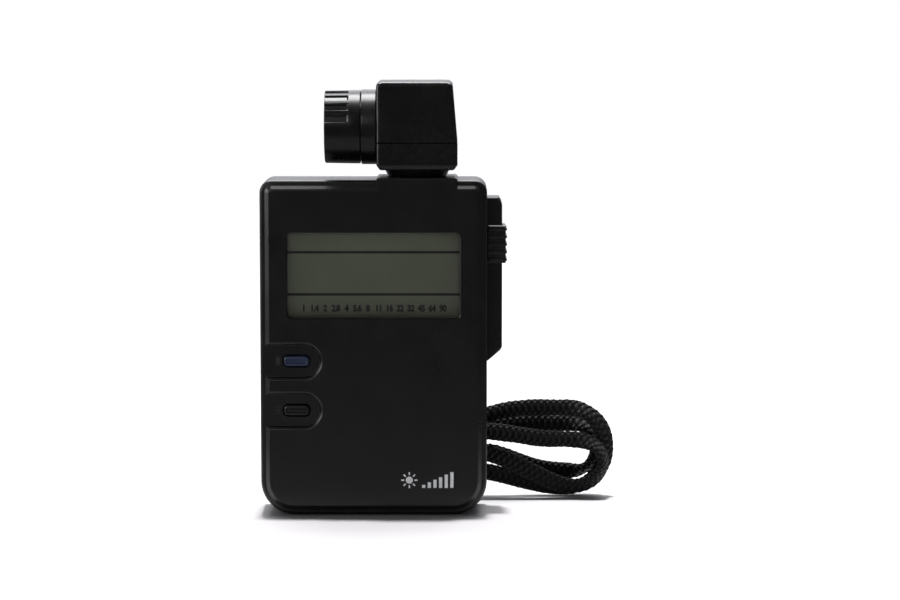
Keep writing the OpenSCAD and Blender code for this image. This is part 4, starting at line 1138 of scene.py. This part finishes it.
# The table's tone, and the darker tone of the piece in front that only the gloss sees: painted shade in reflections.
FLOOR_SHADE, FRONT_GLOSS_SHADE = 0.36, 0.08
SKY_POWER, SKY_ANGLE, SKY_TILT = 6.3, 3, -4.2
WORLD_TOWARDS = (0.0, 0.64, 0.768)
WORLD_FADE = {"From Min": 0.6, "From Max": 0.96, "To Min": 0.1, "To Max": 2.2}


def stage_plane(name, low, high, z, shade, seen):
    """A level plane; one that isn't seen only shows in the gloss of the object."""
    (x0, y0), (x1, y1) = low, high
    mesh = bpy.data.meshes.new(name)
    mesh.from_pydata([(x0, y0, z), (x1, y0, z), (x1, y1, z), (x0, y1, z)], [], [(0, 1, 2, 3)])
    plane = linked(name, mesh)
    colour = (shade, shade * 0.98, shade * 1.005, 1.0)
    p = Paint(name, colour, 0.6)
    p.colourise(p.mix(p.remap(p.noise(14, 4), 0.3, 0.7), tinted(colour, 0.97), colour))
    plane.data.materials.append(p.material)
    plane.visible_camera = plane.visible_shadow = plane.visible_diffuse = seen
    plane.visible_glossy = not seen


def area_light(name, place, aim, size, power):
    data = bpy.data.lights.new(name, "AREA")
    data.shape = "RECTANGLE"
    data.size, data.size_y = size
    data.energy = power
    return aimed(name, data, place, aim)


def studio_world():
    """A soft room, bright above and behind the object and dim in front of it."""
    world = scene.world = bpy.data.worlds.new("world")
    world.use_nodes = True
    nodes, links = world.node_tree.nodes, world.node_tree.links
    background = nodes["Background"]
    background.inputs["Color"].default_value = (0.95, 0.96, 1.0, 1.0)
    place = nodes.new("ShaderNodeTexCoord")
    towards = nodes.new("ShaderNodeVectorMath")
    towards.operation = "DOT_PRODUCT"
    towards.inputs[1].default_value = WORLD_TOWARDS
    links.new(place.outputs["Generated"], towards.inputs[0])
    fade = nodes.new("ShaderNodeMapRange")
    fade.interpolation_type = "SMOOTHSTEP"
    for socket, value in WORLD_FADE.items():
        fade.inputs[socket].default_value = value
    links.new(towards.outputs["Value"], fade.inputs["Value"])
    links.new(fade.outputs["Result"], background.inputs["Strength"])


def add_stage():
    """A pale table to the horizon, of which the gloss shows only the part near the object, and the lights; in the
    gloss the table in front is a darker plane, painted shade in the reflections of the faces that look forward.
    """
    far, near, edge, front = 100.0, 0.12, 0.03, 0.2
    stage_plane("floor_wide", (-far, -far), (far, far), -0.0002, FLOOR_SHADE, True)
    stage_plane("floor_near", (-near, -edge), (near, near), -0.0001, FLOOR_SHADE, False)
    # Painted shade in reflections: a darker stand-in for the table in front, seen only in the gloss, so faces looking
    # forward and down reflect dark.
    stage_plane("gloss_shade_floor_front", (-near, -front), (near, -edge), -0.0001, FRONT_GLOSS_SHADE, False)
    area_light("overhead", (0.0, 0.19, 0.75), (0.0, 0.02, 0.05), (0.6, 0.34), 8.0)
    side = area_light("side_fill", (-0.75, -0.15, 0.3), (0.0, 0.0, 0.06), (0.5, 0.5), 3.4)
    side.visible_diffuse = False
    area_light("front_fill", (-0.35, -0.9, 0.5), (0.0, 0.0, 0.06), (0.4, 0.4), 1.0)
    sky = bpy.data.lights.new("sky", "SUN")
    sky.energy, sky.angle = SKY_POWER, math.radians(SKY_ANGLE)
    lamp = linked("sky", sky)
    lamp.rotation_euler = (math.radians(SKY_TILT), 0, 0)
    lamp.visible_glossy = False
    studio_world()


add_stage()

scene.view_settings.view_transform = "Standard"
